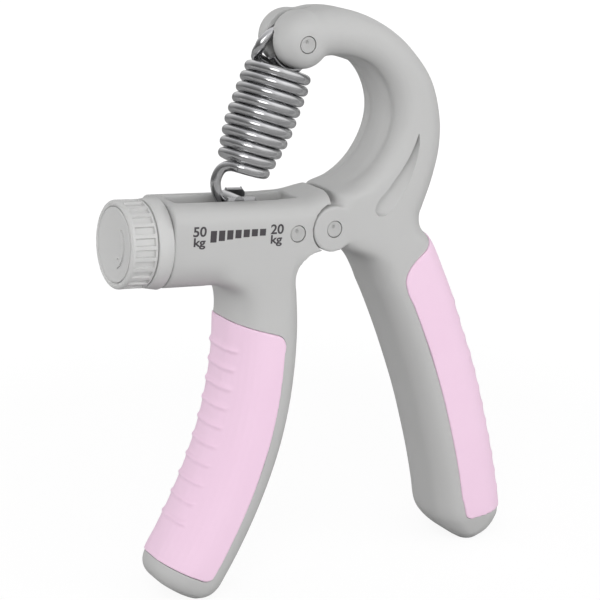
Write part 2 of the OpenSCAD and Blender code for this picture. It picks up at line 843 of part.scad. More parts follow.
left_handle();
left_grip();
end_collar();
end_block();
block_pin();
block_plug_front();
block_plug_rear();
right_handle();
right_grip();
hinge_pin();
hinge_plug_front();
hinge_plug_rear();
spring_plug_front();
spring_plug_rear();
spring_pin();
spring_top_hook();
spring_coil();
spring_bottom_hook();
dial();
dial_cap();
dial_screw();
lead_screw();
thrust_washer();
carriage();
carriage_nut();
hook_pin();
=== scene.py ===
"""Adjustable hand grip strengthener, modelled and finished on its construction frame.

Every sub-assembly is a class. Its sizes are in millimetres about the handle hinge: X runs
along the barrel away from the dial, Y through the thickness, with the printed face at the
front (-Y), and Z up. Stance turns them into the frame's metres, with the grip on its tips.
"""

from __future__ import annotations

import logging
import math
from dataclasses import dataclass, replace
from enum import Enum
from typing import Callable, Sequence

import bmesh
import bpy
from bmesh.types import BMEdge, BMesh, BMFace, BMVert
from bpy.types import ID, Curve, Material, Mesh, Node, NodeTree, Object
from mathutils import Matrix, Vector

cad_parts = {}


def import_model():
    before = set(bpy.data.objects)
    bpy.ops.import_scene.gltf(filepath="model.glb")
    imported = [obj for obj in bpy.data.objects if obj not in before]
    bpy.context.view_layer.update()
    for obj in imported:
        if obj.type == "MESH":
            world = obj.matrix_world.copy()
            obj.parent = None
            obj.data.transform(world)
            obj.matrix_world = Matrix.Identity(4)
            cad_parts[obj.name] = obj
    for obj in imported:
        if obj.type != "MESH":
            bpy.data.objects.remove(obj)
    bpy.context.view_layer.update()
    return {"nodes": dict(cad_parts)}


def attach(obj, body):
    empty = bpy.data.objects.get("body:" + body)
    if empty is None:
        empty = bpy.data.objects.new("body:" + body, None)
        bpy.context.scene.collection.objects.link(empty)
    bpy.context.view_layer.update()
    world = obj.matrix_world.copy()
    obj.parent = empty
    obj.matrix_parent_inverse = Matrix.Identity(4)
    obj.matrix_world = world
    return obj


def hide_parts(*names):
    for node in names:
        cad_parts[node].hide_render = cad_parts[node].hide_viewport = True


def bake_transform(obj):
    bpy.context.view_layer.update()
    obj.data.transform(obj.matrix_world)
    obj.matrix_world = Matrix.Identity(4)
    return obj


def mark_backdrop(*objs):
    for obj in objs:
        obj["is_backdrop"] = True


LOG = logging.getLogger("grip")
FULL_TURN = 2 * math.pi
OPEN = math.inf
FAR = 60.0  # past every piece, in millimetres
WELD = 1e-5  # how near two points are one
POLISH = 3  # rounds of smoothing after a new skin
BARE_STRIP = 6.1  # how much of a limb's inner edge its grip leaves bare

AXIS = Vector((1.0, 0.0, 0.0))
DEPTH = Vector((0.0, 1.0, 0.0))
UP = Vector((0.0, 0.0, 1.0))

Point = tuple[float, float]
Row = tuple[float, ...]
Relief = Callable[[float, float, float, float], float]


class Side(Enum):
    """Which face of the grip a piece is on."""

    FRONT = -1.0
    REAR = 1.0


class Solid(Enum):
    """How a cutter works on a body."""

    CUT = "DIFFERENCE"
    KEEP = "INTERSECT"


@dataclass(frozen=True)
class Stance:
    """How the grip stands: leaned about its hinge, on its two tips."""

    lean: float = 4.4
    foot_depth: float = 99.0
    middle_x: float = -0.9
    metre: float = 0.001

    def matrix(self) -> Matrix:
        """The move from millimetres about the hinge to the frame's metres."""
        turn = Matrix.Rotation(math.radians(self.lean), 4, "Y")
        shift = Matrix.Translation((self.middle_x, 0.0, self.foot_depth))
        return Matrix.Scale(self.metre, 4) @ shift @ turn

    def point(self, at: Sequence[float]) -> Vector:
        """Moves a point to the frame.

        Args:
            at: The point, in millimetres about the hinge.

        Returns:
            The point in the frame's metres.
        """
        return self.matrix() @ Vector(at)


STANCE = Stance()


# ---- Mesh tools ----------------------------------------------------------


def show(name: str, data: ID) -> Object:
    """Puts a new object in the scene.

    Args:
        name: The object's name.
        data: Its mesh, curve, light or camera.

    Returns:
        The object.
    """
    piece = bpy.data.objects.new(name, data)
    bpy.context.scene.collection.objects.link(piece)
    return piece


def object_of(bm: BMesh, name: str) -> Object:
    """Makes an object of a bmesh and frees it.

    Args:
        bm: The finished bmesh, in millimetres about the hinge.
        name: The object's name.

    Returns:
        The new object.
    """
    bmesh.ops.recalc_face_normals(bm, faces=bm.faces)
    mesh = bpy.data.meshes.new(name)
    bm.to_mesh(mesh)
    bm.free()
    return show(name, mesh)


def drawn_mesh(name: str, curve: Curve) -> Mesh:
    """Turns a curve or a line of print into a mesh.

    Args:
        name: The name of the object that draws it, which is removed again.
        curve: The curve.

    Returns:
        The mesh.
    """
    drawn = show(name, curve)
    graph = bpy.context.evaluated_depsgraph_get()
    mesh = bpy.data.meshes.new_from_object(drawn.evaluated_get(graph))
    bpy.data.objects.remove(drawn)
    return mesh


def settle(piece: Object) -> Object:
    """Applies a piece's modifiers to its mesh.

    Args:
        piece: The piece.

    Returns:
        The piece.
    """
    graph = bpy.context.evaluated_depsgraph_get()
    mesh = bpy.data.meshes.new_from_object(piece.evaluated_get(graph))
    piece.modifiers.clear()
    old = piece.data
    piece.data = mesh
    bpy.data.meshes.remove(old)
    return piece


def combine(piece: Object, other: Object, how: Solid) -> Object:
    """Cuts another solid out of a body, or keeps only what both share.

    Args:
        piece: The body that is worked on.
        other: The solid that works on it, which is used up.
        how: What is done.

    Returns:
        The body.
    """
    change = piece.modifiers.new("combine", "BOOLEAN")
    change.operation = how.value
    change.solver = "MANIFOLD"
    change.object = other
    settle(piece)
    bpy.data.objects.remove(other)
    return piece


def cut(piece: Object, *others: Object) -> Object:
    """Cuts solids out of a body, one after the other.

    Args:
        piece: The body.
        *others: The solids, which are used up.

    Returns:
        The body.
    """
    for other in others:
        combine(piece, other, Solid.CUT)
    return piece


def fuse(parts: Sequence[Object], voxel: float, name: str) -> Object:
    """Joins overlapping solids into one skin of even quads.

    Args:
        parts: The solids, which are used up.
        voxel: The size of the skin's quads.
        name: The name of the fused body.

    Returns:
        The fused body.
    """
    bm = bmesh.new()
    for part in parts:
        bm.from_mesh(part.data)
        bpy.data.objects.remove(part)
    body = object_of(bm, name)
    skin = body.modifiers.new("skin", "REMESH")
    skin.mode = "VOXEL"
    skin.voxel_size = voxel
    return settle(body)


@dataclass(frozen=True)
class Zone:
    """A box of points, open on each side that it doesn't name."""

    x: Point = (-OPEN, OPEN)
    y: Point = (-OPEN, OPEN)
    z: Point = (-OPEN, OPEN)

    def holds(self, at: Vector) -> bool:
        """Tells whether a point lies in the box.

        Args:
            at: The point.

        Returns:
            Whether it does.
        """
        return (self.x[0] < at.x < self.x[1] and self.y[0] < at.y < self.y[1]
                and self.z[0] < at.z < self.z[1])


def relax(piece: Object, rounds: int, *zones: Zone) -> Object:
    """Smooths a skin, all over or in some zones.

    Args:
        piece: The piece to smooth.
        rounds: How many rounds of smoothing it gets.
        *zones: Where it is smoothed, or nothing for all of it.

    Returns:
        The piece.
    """
    ease = piece.modifiers.new("relax", "SMOOTH")
    ease.factor = 0.5
    ease.iterations = rounds
    if zones:
        group = piece.vertex_groups.new(name="zone")
        group.add([v.index for v in piece.data.vertices
                   if any(zone.holds(v.co) for zone in zones)], 1.0, "REPLACE")
        ease.vertex_group = group.name
    settle(piece)
    piece.vertex_groups.clear()
    return piece


def grid_skin(rows: Sequence[Sequence[Vector]]) -> BMesh:
    """Skins closed outlines of equal length, one after the other, and caps the ends.

    Args:
        rows: The outlines along the body.

    Returns:
        The closed skin.
    """
    bm = bmesh.new()
    count = len(rows[0])
    bmesh.ops.create_grid(bm, x_segments=count, y_segments=len(rows) - 1, size=1.0)
    for index, vert in enumerate(bm.verts):
        row, column = divmod(index, count + 1)
        vert.co = rows[row][column % count]
    bmesh.ops.remove_doubles(bm, verts=bm.verts, dist=WELD)
    rims = [edge for edge in bm.edges if edge.is_boundary]
    bmesh.ops.holes_fill(bm, edges=rims, sides=0)
    caps = [face for face in bm.faces if len(face.verts) > 4]
    bmesh.ops.triangulate(bm, faces=caps)
    return bm


def rod(start: Vector, end: Vector, radius: float, end_radius: float | None = None,
        segments: int = 96) -> BMesh:
    """A cylinder or cone between two points.

    Args:
        start: The middle of its first end.
        end: The middle of its second end.
        radius: Its radius at the first end.
        end_radius: Its radius at the second end, if that differs.
        segments: How many sides it has.

    Returns:
        The closed cone.
    """
    bm = bmesh.new()
    run = end - start
    turn = run.to_track_quat("Z", "Y").to_matrix().to_4x4()
    place = Matrix.Translation((start + end) / 2) @ turn
    bmesh.ops.create_cone(bm, cap_ends=True, segments=segments, radius1=radius,
                          radius2=radius if end_radius is None else end_radius,
                          depth=run.length, matrix=place)
    return bm


def cross_rod(at: Point, radius: float, y0: float, y1: float) -> Object:
    """Makes a cylinder through the thickness.

    Args:
        at: Its middle, in x and z.
        radius: Its radius.
        y0: The depth of its front end.
        y1: The depth of its rear end.

    Returns:
        The cylinder.
    """
    return object_of(rod(Vector((at[0], y0, at[1])), Vector((at[0], y1, at[1])), radius), "rod")


def slab(outline: Sequence[Point], y0: float, y1: float) -> Object:
    """A flat shape in the XZ plane, between two depths.

    Args:
        outline: Its corners.
        y0: The depth of its front face.
        y1: The depth of its rear face.

    Returns:
        The closed slab.
    """
    bm = bmesh.new()
    corners = [bm.verts.new((x, y0, z)) for x, z in outline]
    bmesh.ops.contextual_create(bm, geom=corners)
    pulled = bmesh.ops.extrude_face_region(bm, geom=bm.faces[:])
    moved = [item for item in pulled["geom"] if isinstance(item, BMVert)]
    bmesh.ops.translate(bm, verts=moved, vec=(0.0, y1 - y0, 0.0))
    bmesh.ops.triangulate(bm, faces=[face for face in bm.faces if len(face.verts) > 4])
    return object_of(bm, "slab")


def block(low: Sequence[float], high: Sequence[float]) -> Object:
    """Makes a box.

    Args:
        low: Its corner with the lowest values.
        high: The opposite corner.

    Returns:
        The box.
    """
    bm = bmesh.new()
    size = [b - a for a, b in zip(low, high)]
    middle = [(a + b) / 2 for a, b in zip(low, high)]
    place = Matrix.Translation(middle) @ Matrix.Diagonal((*size, 1.0))
    bmesh.ops.create_cube(bm, size=1.0, matrix=place)
    return object_of(bm, "block")


def turned(profile: Sequence[Point], centre: Vector, axis: Vector, across: Vector,
           steps: int) -> BMesh:
    """A body turned about an axis.

    Args:
        profile: Its outline as distances along and away from the axis.
        centre: A point on the axis.
        axis: The axis's direction.
        across: A direction square to the axis.
        steps: How many faces go round it.

    Returns:
        The turned skin, closed where its profile meets the axis.
    """
    bm = bmesh.new()
    verts = [bm.verts.new(centre + axis * s + across * r) for s, r in profile]
    edges = [bm.edges.new(pair) for pair in zip(verts, verts[1:])]
    bmesh.ops.spin(bm, geom=verts + edges, cent=centre, axis=axis, angle=FULL_TURN,
                   steps=steps, use_merge=True)
    bmesh.ops.remove_doubles(bm, verts=bm.verts, dist=WELD)
    return bm


def arc(centre: Point, radius: float, first: float, last: float, steps: int) -> list[Point]:
    """Steps along an arc.

    Args:
        centre: Its centre.
        radius: Its radius.
        first: The angle at its start, in degrees.
        last: The angle at its end, in degrees.
        steps: How many steps it takes.

    Returns:
        Its points, both ends included.
    """
    turns = [math.radians(first + (last - first) * k / steps) for k in range(steps + 1)]
    return [(centre[0] + radius * math.cos(t), centre[1] + radius * math.sin(t)) for t in turns]


def smoothstep(low: float, high: float, value: float) -> float:
    """Rises softly from 0 to 1.

    Args:
        low: The value up to which it is 0.
        high: The value from which it is 1.
        value: The value asked for.

    Returns:
        The height there.
    """
    t = min(1.0, max(0.0, (value - low) / (high - low)))
    return t * t * (3.0 - 2.0 * t)


def spline(rows: Sequence[Row], steps: int) -> list[tuple[float, Row]]:
    """A smooth path through rows of numbers.

    Args:
        rows: The rows that it passes through.
        steps: How many points it gets between two rows.

    Returns:
        Each point's place, counted in rows, and its numbers.
    """
    last = len(rows) - 1
    path = []
    for i in range(last):
        a, b, c, d = rows[max(i - 1, 0)], rows[i], rows[i + 1], rows[min(i + 2, last)]
        for s in range(steps):
            t = s / steps
            path.append((i + t, tuple(
                0.5 * (2 * q + (r - p) * t + (2 * p - 5 * q + 4 * r - u) * t * t
                       + (3 * q - p - 3 * r + u) * t ** 3)
                for p, q, r, u in zip(a, b, c, d))))
    path.append((float(last), tuple(rows[last])))
    return path


def even_loop(points: Sequence[Vector], count: int) -> list[Vector]:
    """Spreads points evenly along a closed outline.

    Args:
        points: The outline.
        count: How many points it gets.

    Returns:
        The new points.
    """
    spans = [(b - a).length for a, b in zip(points, [*points[1:], points[0]])]
    step = sum(spans) / count
    loop, index, walked = [], 0, 0.0
    for k in range(count):
        while walked + spans[index] < k * step:
            walked += spans[index]
            index += 1
        share = (k * step - walked) / spans[index]
        loop.append(points[index].lerp(points[(index + 1) % len(points)], share))
    return loop


# ---- Limbs ---------------------------------------------------------------


@dataclass(frozen=True)
class Limb:
    """A moulded bar of rounded sections.

    Each station is the inner edge's x and z, the outer edge's x and z, half the depth, and
    the radius of the corners at the inner and at the outer edge.
    """

    stations: Sequence[Row]
    steps: int = 6
    sides: int = 112
    corner_steps: int = 8

    def section(self, row: Row, grow: float) -> tuple[list[Vector], float]:
        """One outline.

        Args:
            row: The station's numbers.
            grow: How far its outer edge and its faces are moved out.

        Returns:
            The outline as points of (along, depth, 0), and its width.
        """
        width = math.hypot(row[2] - row[0], row[3] - row[1]) + grow
        half = row[4] + grow
        a = min(row[5] + grow, half, width / 2)
        b = min(row[6] + grow, half, width - a)
        corners = [
            ((width - b, half - b), b, 0.0),
            ((a, half - a), a, 90.0),
            ((a, a - half), a, 180.0),
            ((width - b, b - half), b, 270.0),
        ]
        points = [Vector((p[0], p[1], 0.0)) for centre, r, start in corners
                  for p in arc(centre, r, start, start + 90.0, self.corner_steps)]
        return even_loop(points, self.sides), width

    def outlines(self, grow: float = 0.0, first: int = 0, relief: Relief | None = None
                 ) -> list[list[Vector]]:
        """The outlines along the limb.

        Args:
            grow: How far the outer edge and the faces are moved out.
            first: The first station used.
            relief: How far a point stands out, from its place along the limb in stations,
                its distance from the inner edge, its depth and the section's width.

        Returns:
            The outlines, in millimetres about the hinge.
        """
        rings = []
        for place, row in spline(self.stations, self.steps):
            if place < first:
                continue
            inner = Vector((row[0], 0.0, row[1]))
            along = (Vector((row[2], 0.0, row[3])) - inner).normalized()
            flat, width = self.section(row, grow)
            ring = []
            for k, p in enumerate(flat):
                x, y = p.x, p.y
                if relief is not None:
                    side = flat[(k + 1) % self.sides] - flat[k - 1]
                    out = Vector((side.y, -side.x, 0.0)).normalized()
                    lift = relief(place, x, y, width)
                    x, y = x + out.x * lift, y + out.y * lift
                ring.append(inner + along * x + Vector((0.0, y, 0.0)))
            rings.append(ring)
        return rings

    def body(self, grow: float = 0.0, first: int = 0, relief: Relief | None = None) -> Object:
        """Models the closed limb.

        Args:
            grow: How far the outer edge and the faces are moved out.
            first: The first station used.
            relief: How far a point stands out, as outlines() says.

        Returns:
            The limb.
        """
        return object_of(grid_skin(self.outlines(grow, first, relief)), "limb")

    def strip(self, width: float, low: float, high: float) -> list[Point]:
        """Follows the edge of a strip along the limb's inner edge.

        Args:
            width: The strip's width.
            low: The height at which it ends.
            high: The height at which it begins.

        Returns:
            The points of its edge.
        """
        edge = []
        for _, row in spline(self.stations, self.steps):
            run = Vector((row[2] - row[0], row[3] - row[1])).normalized()
            x, z = row[0] + run.x * width, row[1] + run.y * width
            if low < z < high:
                edge.append((x, z))
        return edge


def rounded_corner(before: Point, corner: Point, after: Point, radius: float,
                   steps: int = 8) -> list[Point]:
    """Rounds a corner between two straight sides.

    Args:
        before: A point on the side that comes in.
        corner: The sharp corner.
        after: A point on the side that goes out.
        radius: The radius of the rounding.
        steps: How many steps the arc takes.

    Returns:
        The arc's points.
    """
    p, q, s = Vector(before), Vector(corner), Vector(after)
    a, b = (p - q).normalized(), (s - q).normalized()
    half = a.angle(b) / 2
    middle = q + (a + b).normalized() * radius / math.sin(half)
    start = q + a * radius / math.tan(half) - middle
    end = q + b * radius / math.tan(half) - middle
    points = []
    for k in range(steps + 1):
        way = start.lerp(end, k / steps).normalized() * radius
        points.append((middle.x + way.x, middle.y + way.y))
    return points


LEFT_LIMB = Limb((
    (-5.5, -8, -36, -8, 11, 6.5, 4.5), (-7, -12.8, -31.6, -13.8, 11, 6.5, 5),
    (-7.4, -15.6, -27.6, -15.6, 11, 6.5, 5.6), (-7.2, -18, -26.1, -17.8, 11, 6.5, 6.2),
    (-6.8, -21, -25.6, -20.8, 11, 6.5, 7), (-6.2, -27, -25.6, -27, 11, 6.5, 8),
    (-6, -36, -25.8, -35, 11, 6.5, 9), (-6.6, -47, -26.8, -45, 11, 6.5, 9.6),
    (-8.4, -58.5, -28.8, -55.5, 11, 6.5, 10), (-11.4, -69.5, -31.7, -65.5, 11, 6.5, 10),
    (-15.3, -80, -35.3, -75, 11, 6.5, 10), (-19.4, -89, -39.1, -83.3, 11, 6.5, 10),
    (-22.6, -95.3, -42, -89.6, 10.8, 6.5, 9), (-24.4, -98.6, -42.5, -93, 10.2, 6, 8),
    (-26.8, -100.7, -40.9, -95.9, 8.9, 5, 6.5), (-30, -101.6, -36.8, -98.7, 6.4, 3, 3.4),
))

RIGHT_LIMB = Limb((
    (-10.6, 41.2, -10, 55.4, 9.35, 6, 6.5), (-4, 44.1, -4, 56.7, 9.7, 6, 6.5),
    (3, 43.9, 4.5, 56, 10.2, 6, 6.5), (9.6, 41.8, 13.4, 52.7, 10.6, 6, 6.5),
    (14.2, 37.4, 21.8, 47.1, 10.9, 6, 6.5), (16.8, 31.6, 28.9, 39.2, 11, 6, 6.5),
    (16.9, 26, 32.9, 29.4, 11, 6, 7), (15, 20.4, 33.9, 20.5, 11, 6, 7.5),
    (11.3, 15.2, 32.6, 12.3, 11, 6.2, 7.5), (6.2, 11.5, 30.7, 5.8, 11, 6.8, 7.5),
    (1.6, 9.6, 29.6, 2.4, 11, 6.5, 7.5), (1.2, 8.5, 29.6, 1, 11, 5, 7.5),
    (1.3, 5, 29.9, -0.6, 11, 3.2, 7.5), (0.3, -1.5, 31, -2.2, 11, 4, 7.5),
    (5, -6.2, 33, -4, 11, 5, 7.5), (11.5, -8.8, 35.2, -6.6, 11, 6, 8),
    (14.6, -12, 37.4, -10, 11, 6.5, 8.5), (17, -16, 39.5, -13.5, 11, 6.5, 9),
    (21, -22.9, 43, -20, 11, 6.5, 9), (26.1, -32.9, 47.5, -30, 11, 6.5, 9),
    (30.7, -42.9, 52, -39.5, 11, 6.5, 9), (34.5, -51.9, 55.8, -49, 11, 6.5, 9),
    (37.9, -61.3, 59, -58, 11, 6.5, 9), (40.9, -70.3, 62.2, -67.5, 11, 6.5, 9),
    (43.4, -79, 65, -77, 11, 6.5, 9), (45.2, -86, 67, -85, 11, 6.5, 9),
    (47.6, -89.7, 66.8, -88.3, 10.2, 6, 8), (51.4, -92.9, 64.5, -91.9, 8.9, 5, 6.5),
    (55.2, -95.05, 60.5, -94.55, 6.4, 3, 3.4),
))


# ---- Finishes ------------------------------------------------------------


def new_group(name: str, inputs: dict[str, float | tuple[float, ...]],
              outputs: dict[str, str]) -> tuple[NodeTree, Node, Node]:
    """Starts a shader node group.

    Args:
        name: The group's name.
        inputs: Its inputs and their values, a number or a colour.
        outputs: Its outputs and their socket types.

    Returns:
        The group, its input node and its output node.
    """
    tree = bpy.data.node_groups.new(name, "ShaderNodeTree")
    for label, value in inputs.items():
        kind = "NodeSocketFloat" if isinstance(value, (int, float)) else "NodeSocketColor"
        socket = tree.interface.new_socket(name=label, in_out="INPUT", socket_type=kind)
        socket.default_value = value
    for label, kind in outputs.items():
        tree.interface.new_socket(name=label, in_out="OUTPUT", socket_type=kind)
    return tree, tree.nodes.new("NodeGroupInput"), tree.nodes.new("NodeGroupOutput")


def add(tree: NodeTree, kind: str, settings: dict[str, object] | None = None,
        **values: object) -> Node:
    """Adds a node.

    Args:
        tree: The node tree.
        kind: The node's type, without its ShaderNode prefix.
        settings: The node's own settings.
        **values: Values of its inputs, with underscores for spaces.

    Returns:
        The node.
    """
    node = tree.nodes.new("ShaderNode" + kind)
    for label, value in (settings or {}).items():
        setattr(node, label, value)
    for label, value in values.items():
        node.inputs[label.replace("_", " ")].default_value = value
    return node


def join(tree: NodeTree, *ways: tuple[Node, str | int, Node, str | int]) -> None:
    """Links outputs of nodes to inputs of others.

    Args:
        tree: The node tree.
        *ways: Each link's node, output, node and input.
    """
    for source, output, sink, entry in ways:
        tree.links.new(source.outputs[output], sink.inputs[entry])


def grain_group() -> NodeTree:
    """Fine moulded grain: a bump, and a mask that breaks up the gloss."""
    tree, source, sink = new_group(
        "moulded grain", {"Size": 900.0, "Depth": 0.1, "Soften": 0.5},
        {"Normal": "NodeSocketVector", "Mask": "NodeSocketFloat"})
    coords = add(tree, "TexCoord")
    fine = add(tree, "TexNoise", Detail=3.0, Roughness=0.6)
    broad = add(tree, "TexNoise", Scale=60.0, Detail=2.0)
    bump = add(tree, "Bump", Distance=0.0002)
    mix = add(tree, "Mix")
    join(tree, (coords, "Object", fine, "Vector"), (coords, "Object", broad, "Vector"),
         (source, "Size", fine, "Scale"), (source, "Depth", bump, "Strength"),
         (fine, "Fac", bump, "Height"), (source, "Soften", mix, 0), (fine, "Fac", mix, 2),
         (broad, "Fac", mix, 3), (bump, "Normal", sink, "Normal"), (mix, 0, sink, "Mask"))
    return tree


def tone_group() -> NodeTree:
    """A slow drift between a lighter and a darker tone."""
    tree, source, sink = new_group(
        "tone drift", {"Light": (0.6, 0.6, 0.6, 1.0), "Dark": (0.5, 0.5, 0.5, 1.0),
                       "Scale": 35.0}, {"Color": "NodeSocketColor"})
    coords = add(tree, "TexCoord")
    cloud = add(tree, "TexNoise", Detail=4.0, Roughness=0.55)
    mix = add(tree, "Mix", {"data_type": "RGBA"})
    join(tree, (coords, "Object", cloud, "Vector"), (source, "Scale", cloud, "Scale"),
         (cloud, "Fac", mix, "Factor"), (source, "Light", mix, 6), (source, "Dark", mix, 7),
         (mix, 2, sink, "Color"))
    return tree


@dataclass(frozen=True)
class Finish:
    """A surface finish.

    The colour drifts between light and dark, and the roughness between its two values.
    """

    name: str
    light: tuple[float, float, float]
    dark: tuple[float, float, float]
    roughness: tuple[float, float]
    grain: float
    depth: float
    metallic: float = 0.0
    sheen: float = 0.0
    specular: float = 0.5
    drift: float = 35.0

    def material(self) -> Material:
        """The finish as a material, made once."""
        if self.name in bpy.data.materials:
            return bpy.data.materials[self.name]
        made = bpy.data.materials.new(self.name)
        made.use_nodes = True
        tree = made.node_tree
        shader = tree.nodes["Principled BSDF"]
        tone = add(tree, "Group", {"node_tree": shared_group("tone drift", tone_group)},
                   Light=(*self.light, 1.0), Dark=(*self.dark, 1.0), Scale=self.drift)
        grain = add(tree, "Group", {"node_tree": shared_group("moulded grain", grain_group)},
                    Size=self.grain, Depth=self.depth)
        gloss = add(tree, "MapRange", To_Min=self.roughness[0], To_Max=self.roughness[1])
        join(tree, (tone, "Color", shader, "Base Color"), (grain, "Mask", gloss, "Value"),
             (gloss, "Result", shader, "Roughness"), (grain, "Normal", shader, "Normal"))
        for label, value in (("Metallic", self.metallic), ("Sheen Weight", self.sheen),
                             ("Specular IOR Level", self.specular)):
            shader.inputs[label].default_value = value
        return made


def shared_group(name: str, make: Callable[[], NodeTree]) -> NodeTree:
    """Finds a node group, or makes it at its first use.

    Args:
        name: The group's name.
        make: What makes it.

    Returns:
        The group.
    """
    return bpy.data.node_groups.get(name) or make()


HANDLE_PLASTIC = Finish("handle plastic", (0.53, 0.53, 0.525), (0.49, 0.49, 0.487),
                        (0.42, 0.52), 1400.0, 0.05)
DIAL_PLASTIC = Finish("dial plastic", (0.60, 0.60, 0.595), (0.56, 0.56, 0.555),
                      (0.38, 0.48), 1400.0, 0.05)
PLUG_PLASTIC = Finish("plug plastic", (0.48, 0.48, 0.475), (0.43, 0.43, 0.427),
                      (0.36, 0.46), 1400.0, 0.05, drift=120.0)
GRIP_RUBBER = Finish("soft grip", (0.89, 0.66, 0.81), (0.85, 0.60, 0.765),
                     (0.55, 0.68), 1100.0, 0.10, sheen=0.15, specular=0.35)
SPRING_STEEL = Finish("nickel wire", (0.80, 0.80, 0.81), (0.52, 0.52, 0.53),
                      (0.12, 0.28), 700.0, 0.05, metallic=1.0, drift=220.0)
STEEL = Finish("zinc steel", (0.62, 0.62, 0.63), (0.55, 0.55, 0.56),
               (0.16, 0.28), 900.0, 0.04, metallic=1.0, drift=160.0)
# Near-black steel: painted shade on the carriage's inner faces, and the finish of the carriage
# nut.
DARK_STEEL_AND_SHADE = Finish("dark steel and painted shade", (0.16, 0.16, 0.165), (0.10, 0.10, 0.105),
                    (0.25, 0.40), 900.0, 0.06, metallic=1.0, drift=160.0)
INK = Finish("scale ink", (0.065, 0.058, 0.065), (0.05, 0.045, 0.05),
             (0.45, 0.60), 900.0, 0.03)


def finished(piece: Object, finish: Finish, body: str,
             replaces: Sequence[str] = (), sharp: float = 40.0, placed: bool = False) -> Object:
    """Places a piece on the frame, dresses it and lets it ride.

    Args:
        piece: The piece, in millimetres about the hinge.
        finish: Its finish.
        body: The CAD body that it moves with.
        replaces: The CAD nodes that it stands for.
        sharp: The angle in degrees past which an edge stays crisp.
        placed: Whether its mesh is in the frame's metres already.

    Returns:
        The piece.
    """
    if not placed:
        piece.data.transform(STANCE.matrix())
    piece.data.materials.clear()
    piece.data.materials.append(finish.material())
    piece.data.shade_smooth()
    piece.data.set_sharp_from_angle(angle=math.radians(sharp))
    if body:
        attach(piece, body)
    if replaces:
        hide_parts(*replaces)
    LOG.info("%s: %d faces on %s", piece.name, len(piece.data.polygons), body or "a blend")
    return piece


# ---- Soft grips ----------------------------------------------------------


@dataclass(frozen=True)
class Ribs:
    """Soft ribs across the outer side of a grip."""

    first_z: float
    last_z: float
    pitch: float = 5.13
    height: float = 0.55
    half_width: float = 0.55
    reach: float = 2.0
    fade: float = 0.8

    def relief(self, limb: Limb) -> Relief:
        """Shapes the ribs.

        Args:
            limb: The limb that they cross.

        Returns:
            Their relief on its sections.
        """
        heights = [row[3] for _, row in spline(limb.stations, 1)]

        def lift(place: float, along: float, depth: float, width: float) -> float:
            index = min(int(place), len(heights) - 2)
            z = heights[index] + (heights[index + 1] - heights[index]) * (place - index)
            if not self.last_z < z < self.first_z:
                return 0.0
            off = (self.first_z - z) % self.pitch - self.pitch / 2
            side = 1.0 - smoothstep(self.reach - self.fade, self.reach, width - along)
            return self.height * math.exp(-((off / self.half_width) ** 2)) * side

        return lift


@dataclass(frozen=True)
class SoftGrip:
    """A soft grip moulded into a recess of a handle."""

    name: str
    body: str
    limb: Limb
    first: int
    area: Sequence[Point]
    ribs: Ribs
    thickness: float = 1.8
    proud: float = 0.38
    voxel: float = 0.3
    seam: float = 0.14
    steps: int = 36

    def floor(self) -> Object:
        """The part of the limb that lies under the grip."""
        return self.limb.body(self.proud - self.thickness, self.first)

    def recess(self) -> Object:
        """The pocket in the handle that the grip fills."""
        return cut(slab(self.area, -FAR, FAR), self.floor())

    def make(self) -> Object:
        """Models and places the grip, drawn in by a fine seam."""
        fine = replace(self.limb, steps=self.steps)
        skin = fine.body(self.proud, self.first, self.ribs.relief(self.limb))
        area = [Vector(p) for p in self.area]
        middle = sum(area, Vector((0.0, 0.0))) / len(area)
        drawn = [p + (middle - p).normalized() * self.seam for p in area]
        combine(skin, slab([(p.x, p.y) for p in drawn], -FAR, FAR), Solid.KEEP)
        cut(skin, self.floor())
        grip = relax(fuse([skin], self.voxel, self.name), POLISH)
        return finished(grip, GRIP_RUBBER, self.body, [self.name])


def left_area() -> list[Point]:
    """The outline of the left grip: a sloping top, the bare strip's edge, a sloping end."""
    top, top_slope = (-11.7, -28.4), 0.265
    end, end_slope = (-29.6, -95.3), 0.464
    room, top_r, end_r = 5.0, 3.5, 2.5
    side = LEFT_LIMB.strip(BARE_STRIP, end[1] + room, top[1] - room)
    top_far = (-FAR, top[1] + top_slope * (FAR + top[0]))
    end_far = (-FAR, end[1] + end_slope * (FAR + end[0]))
    return [top_far, *rounded_corner(top_far, top, side[0], top_r), *side,
            *rounded_corner(side[-1], end, end_far, end_r), end_far]


def right_area() -> list[Point]:
    """The outline of the right grip, whose top runs in an S over the handle's face."""
    far_x, end, end_slope = 80.0, (52.4, -87.2), 0.16
    room, side_top, end_r = 5.0, -21.0, 2.5
    top = [row for _, row in spline(
        ((60, 0), (34.5, 0), (33, -2.5), (31, -5.8), (27.5, -8.7), (24.7, -12),
         (23.8, -15.3), (25, -19)), 6)]
    side = RIGHT_LIMB.strip(BARE_STRIP, end[1] + room, side_top)
    end_far = (far_x, end[1] + end_slope * (far_x - end[0]))
    return [(far_x, 0.0), *top, *side, *rounded_corner(side[-1], end, end_far, end_r), end_far]


LEFT_GRIP = SoftGrip("left_grip", "left_handle", LEFT_LIMB, 3, left_area(), Ribs(-30.0, -81.0))
RIGHT_GRIP = SoftGrip("right_grip", "right_handle", RIGHT_LIMB, 11, right_area(),
                      Ribs(-20.0, -80.0, height=0.22, half_width=0.9, reach=4.6), voxel=0.34)


# ---- Handles -------------------------------------------------------------


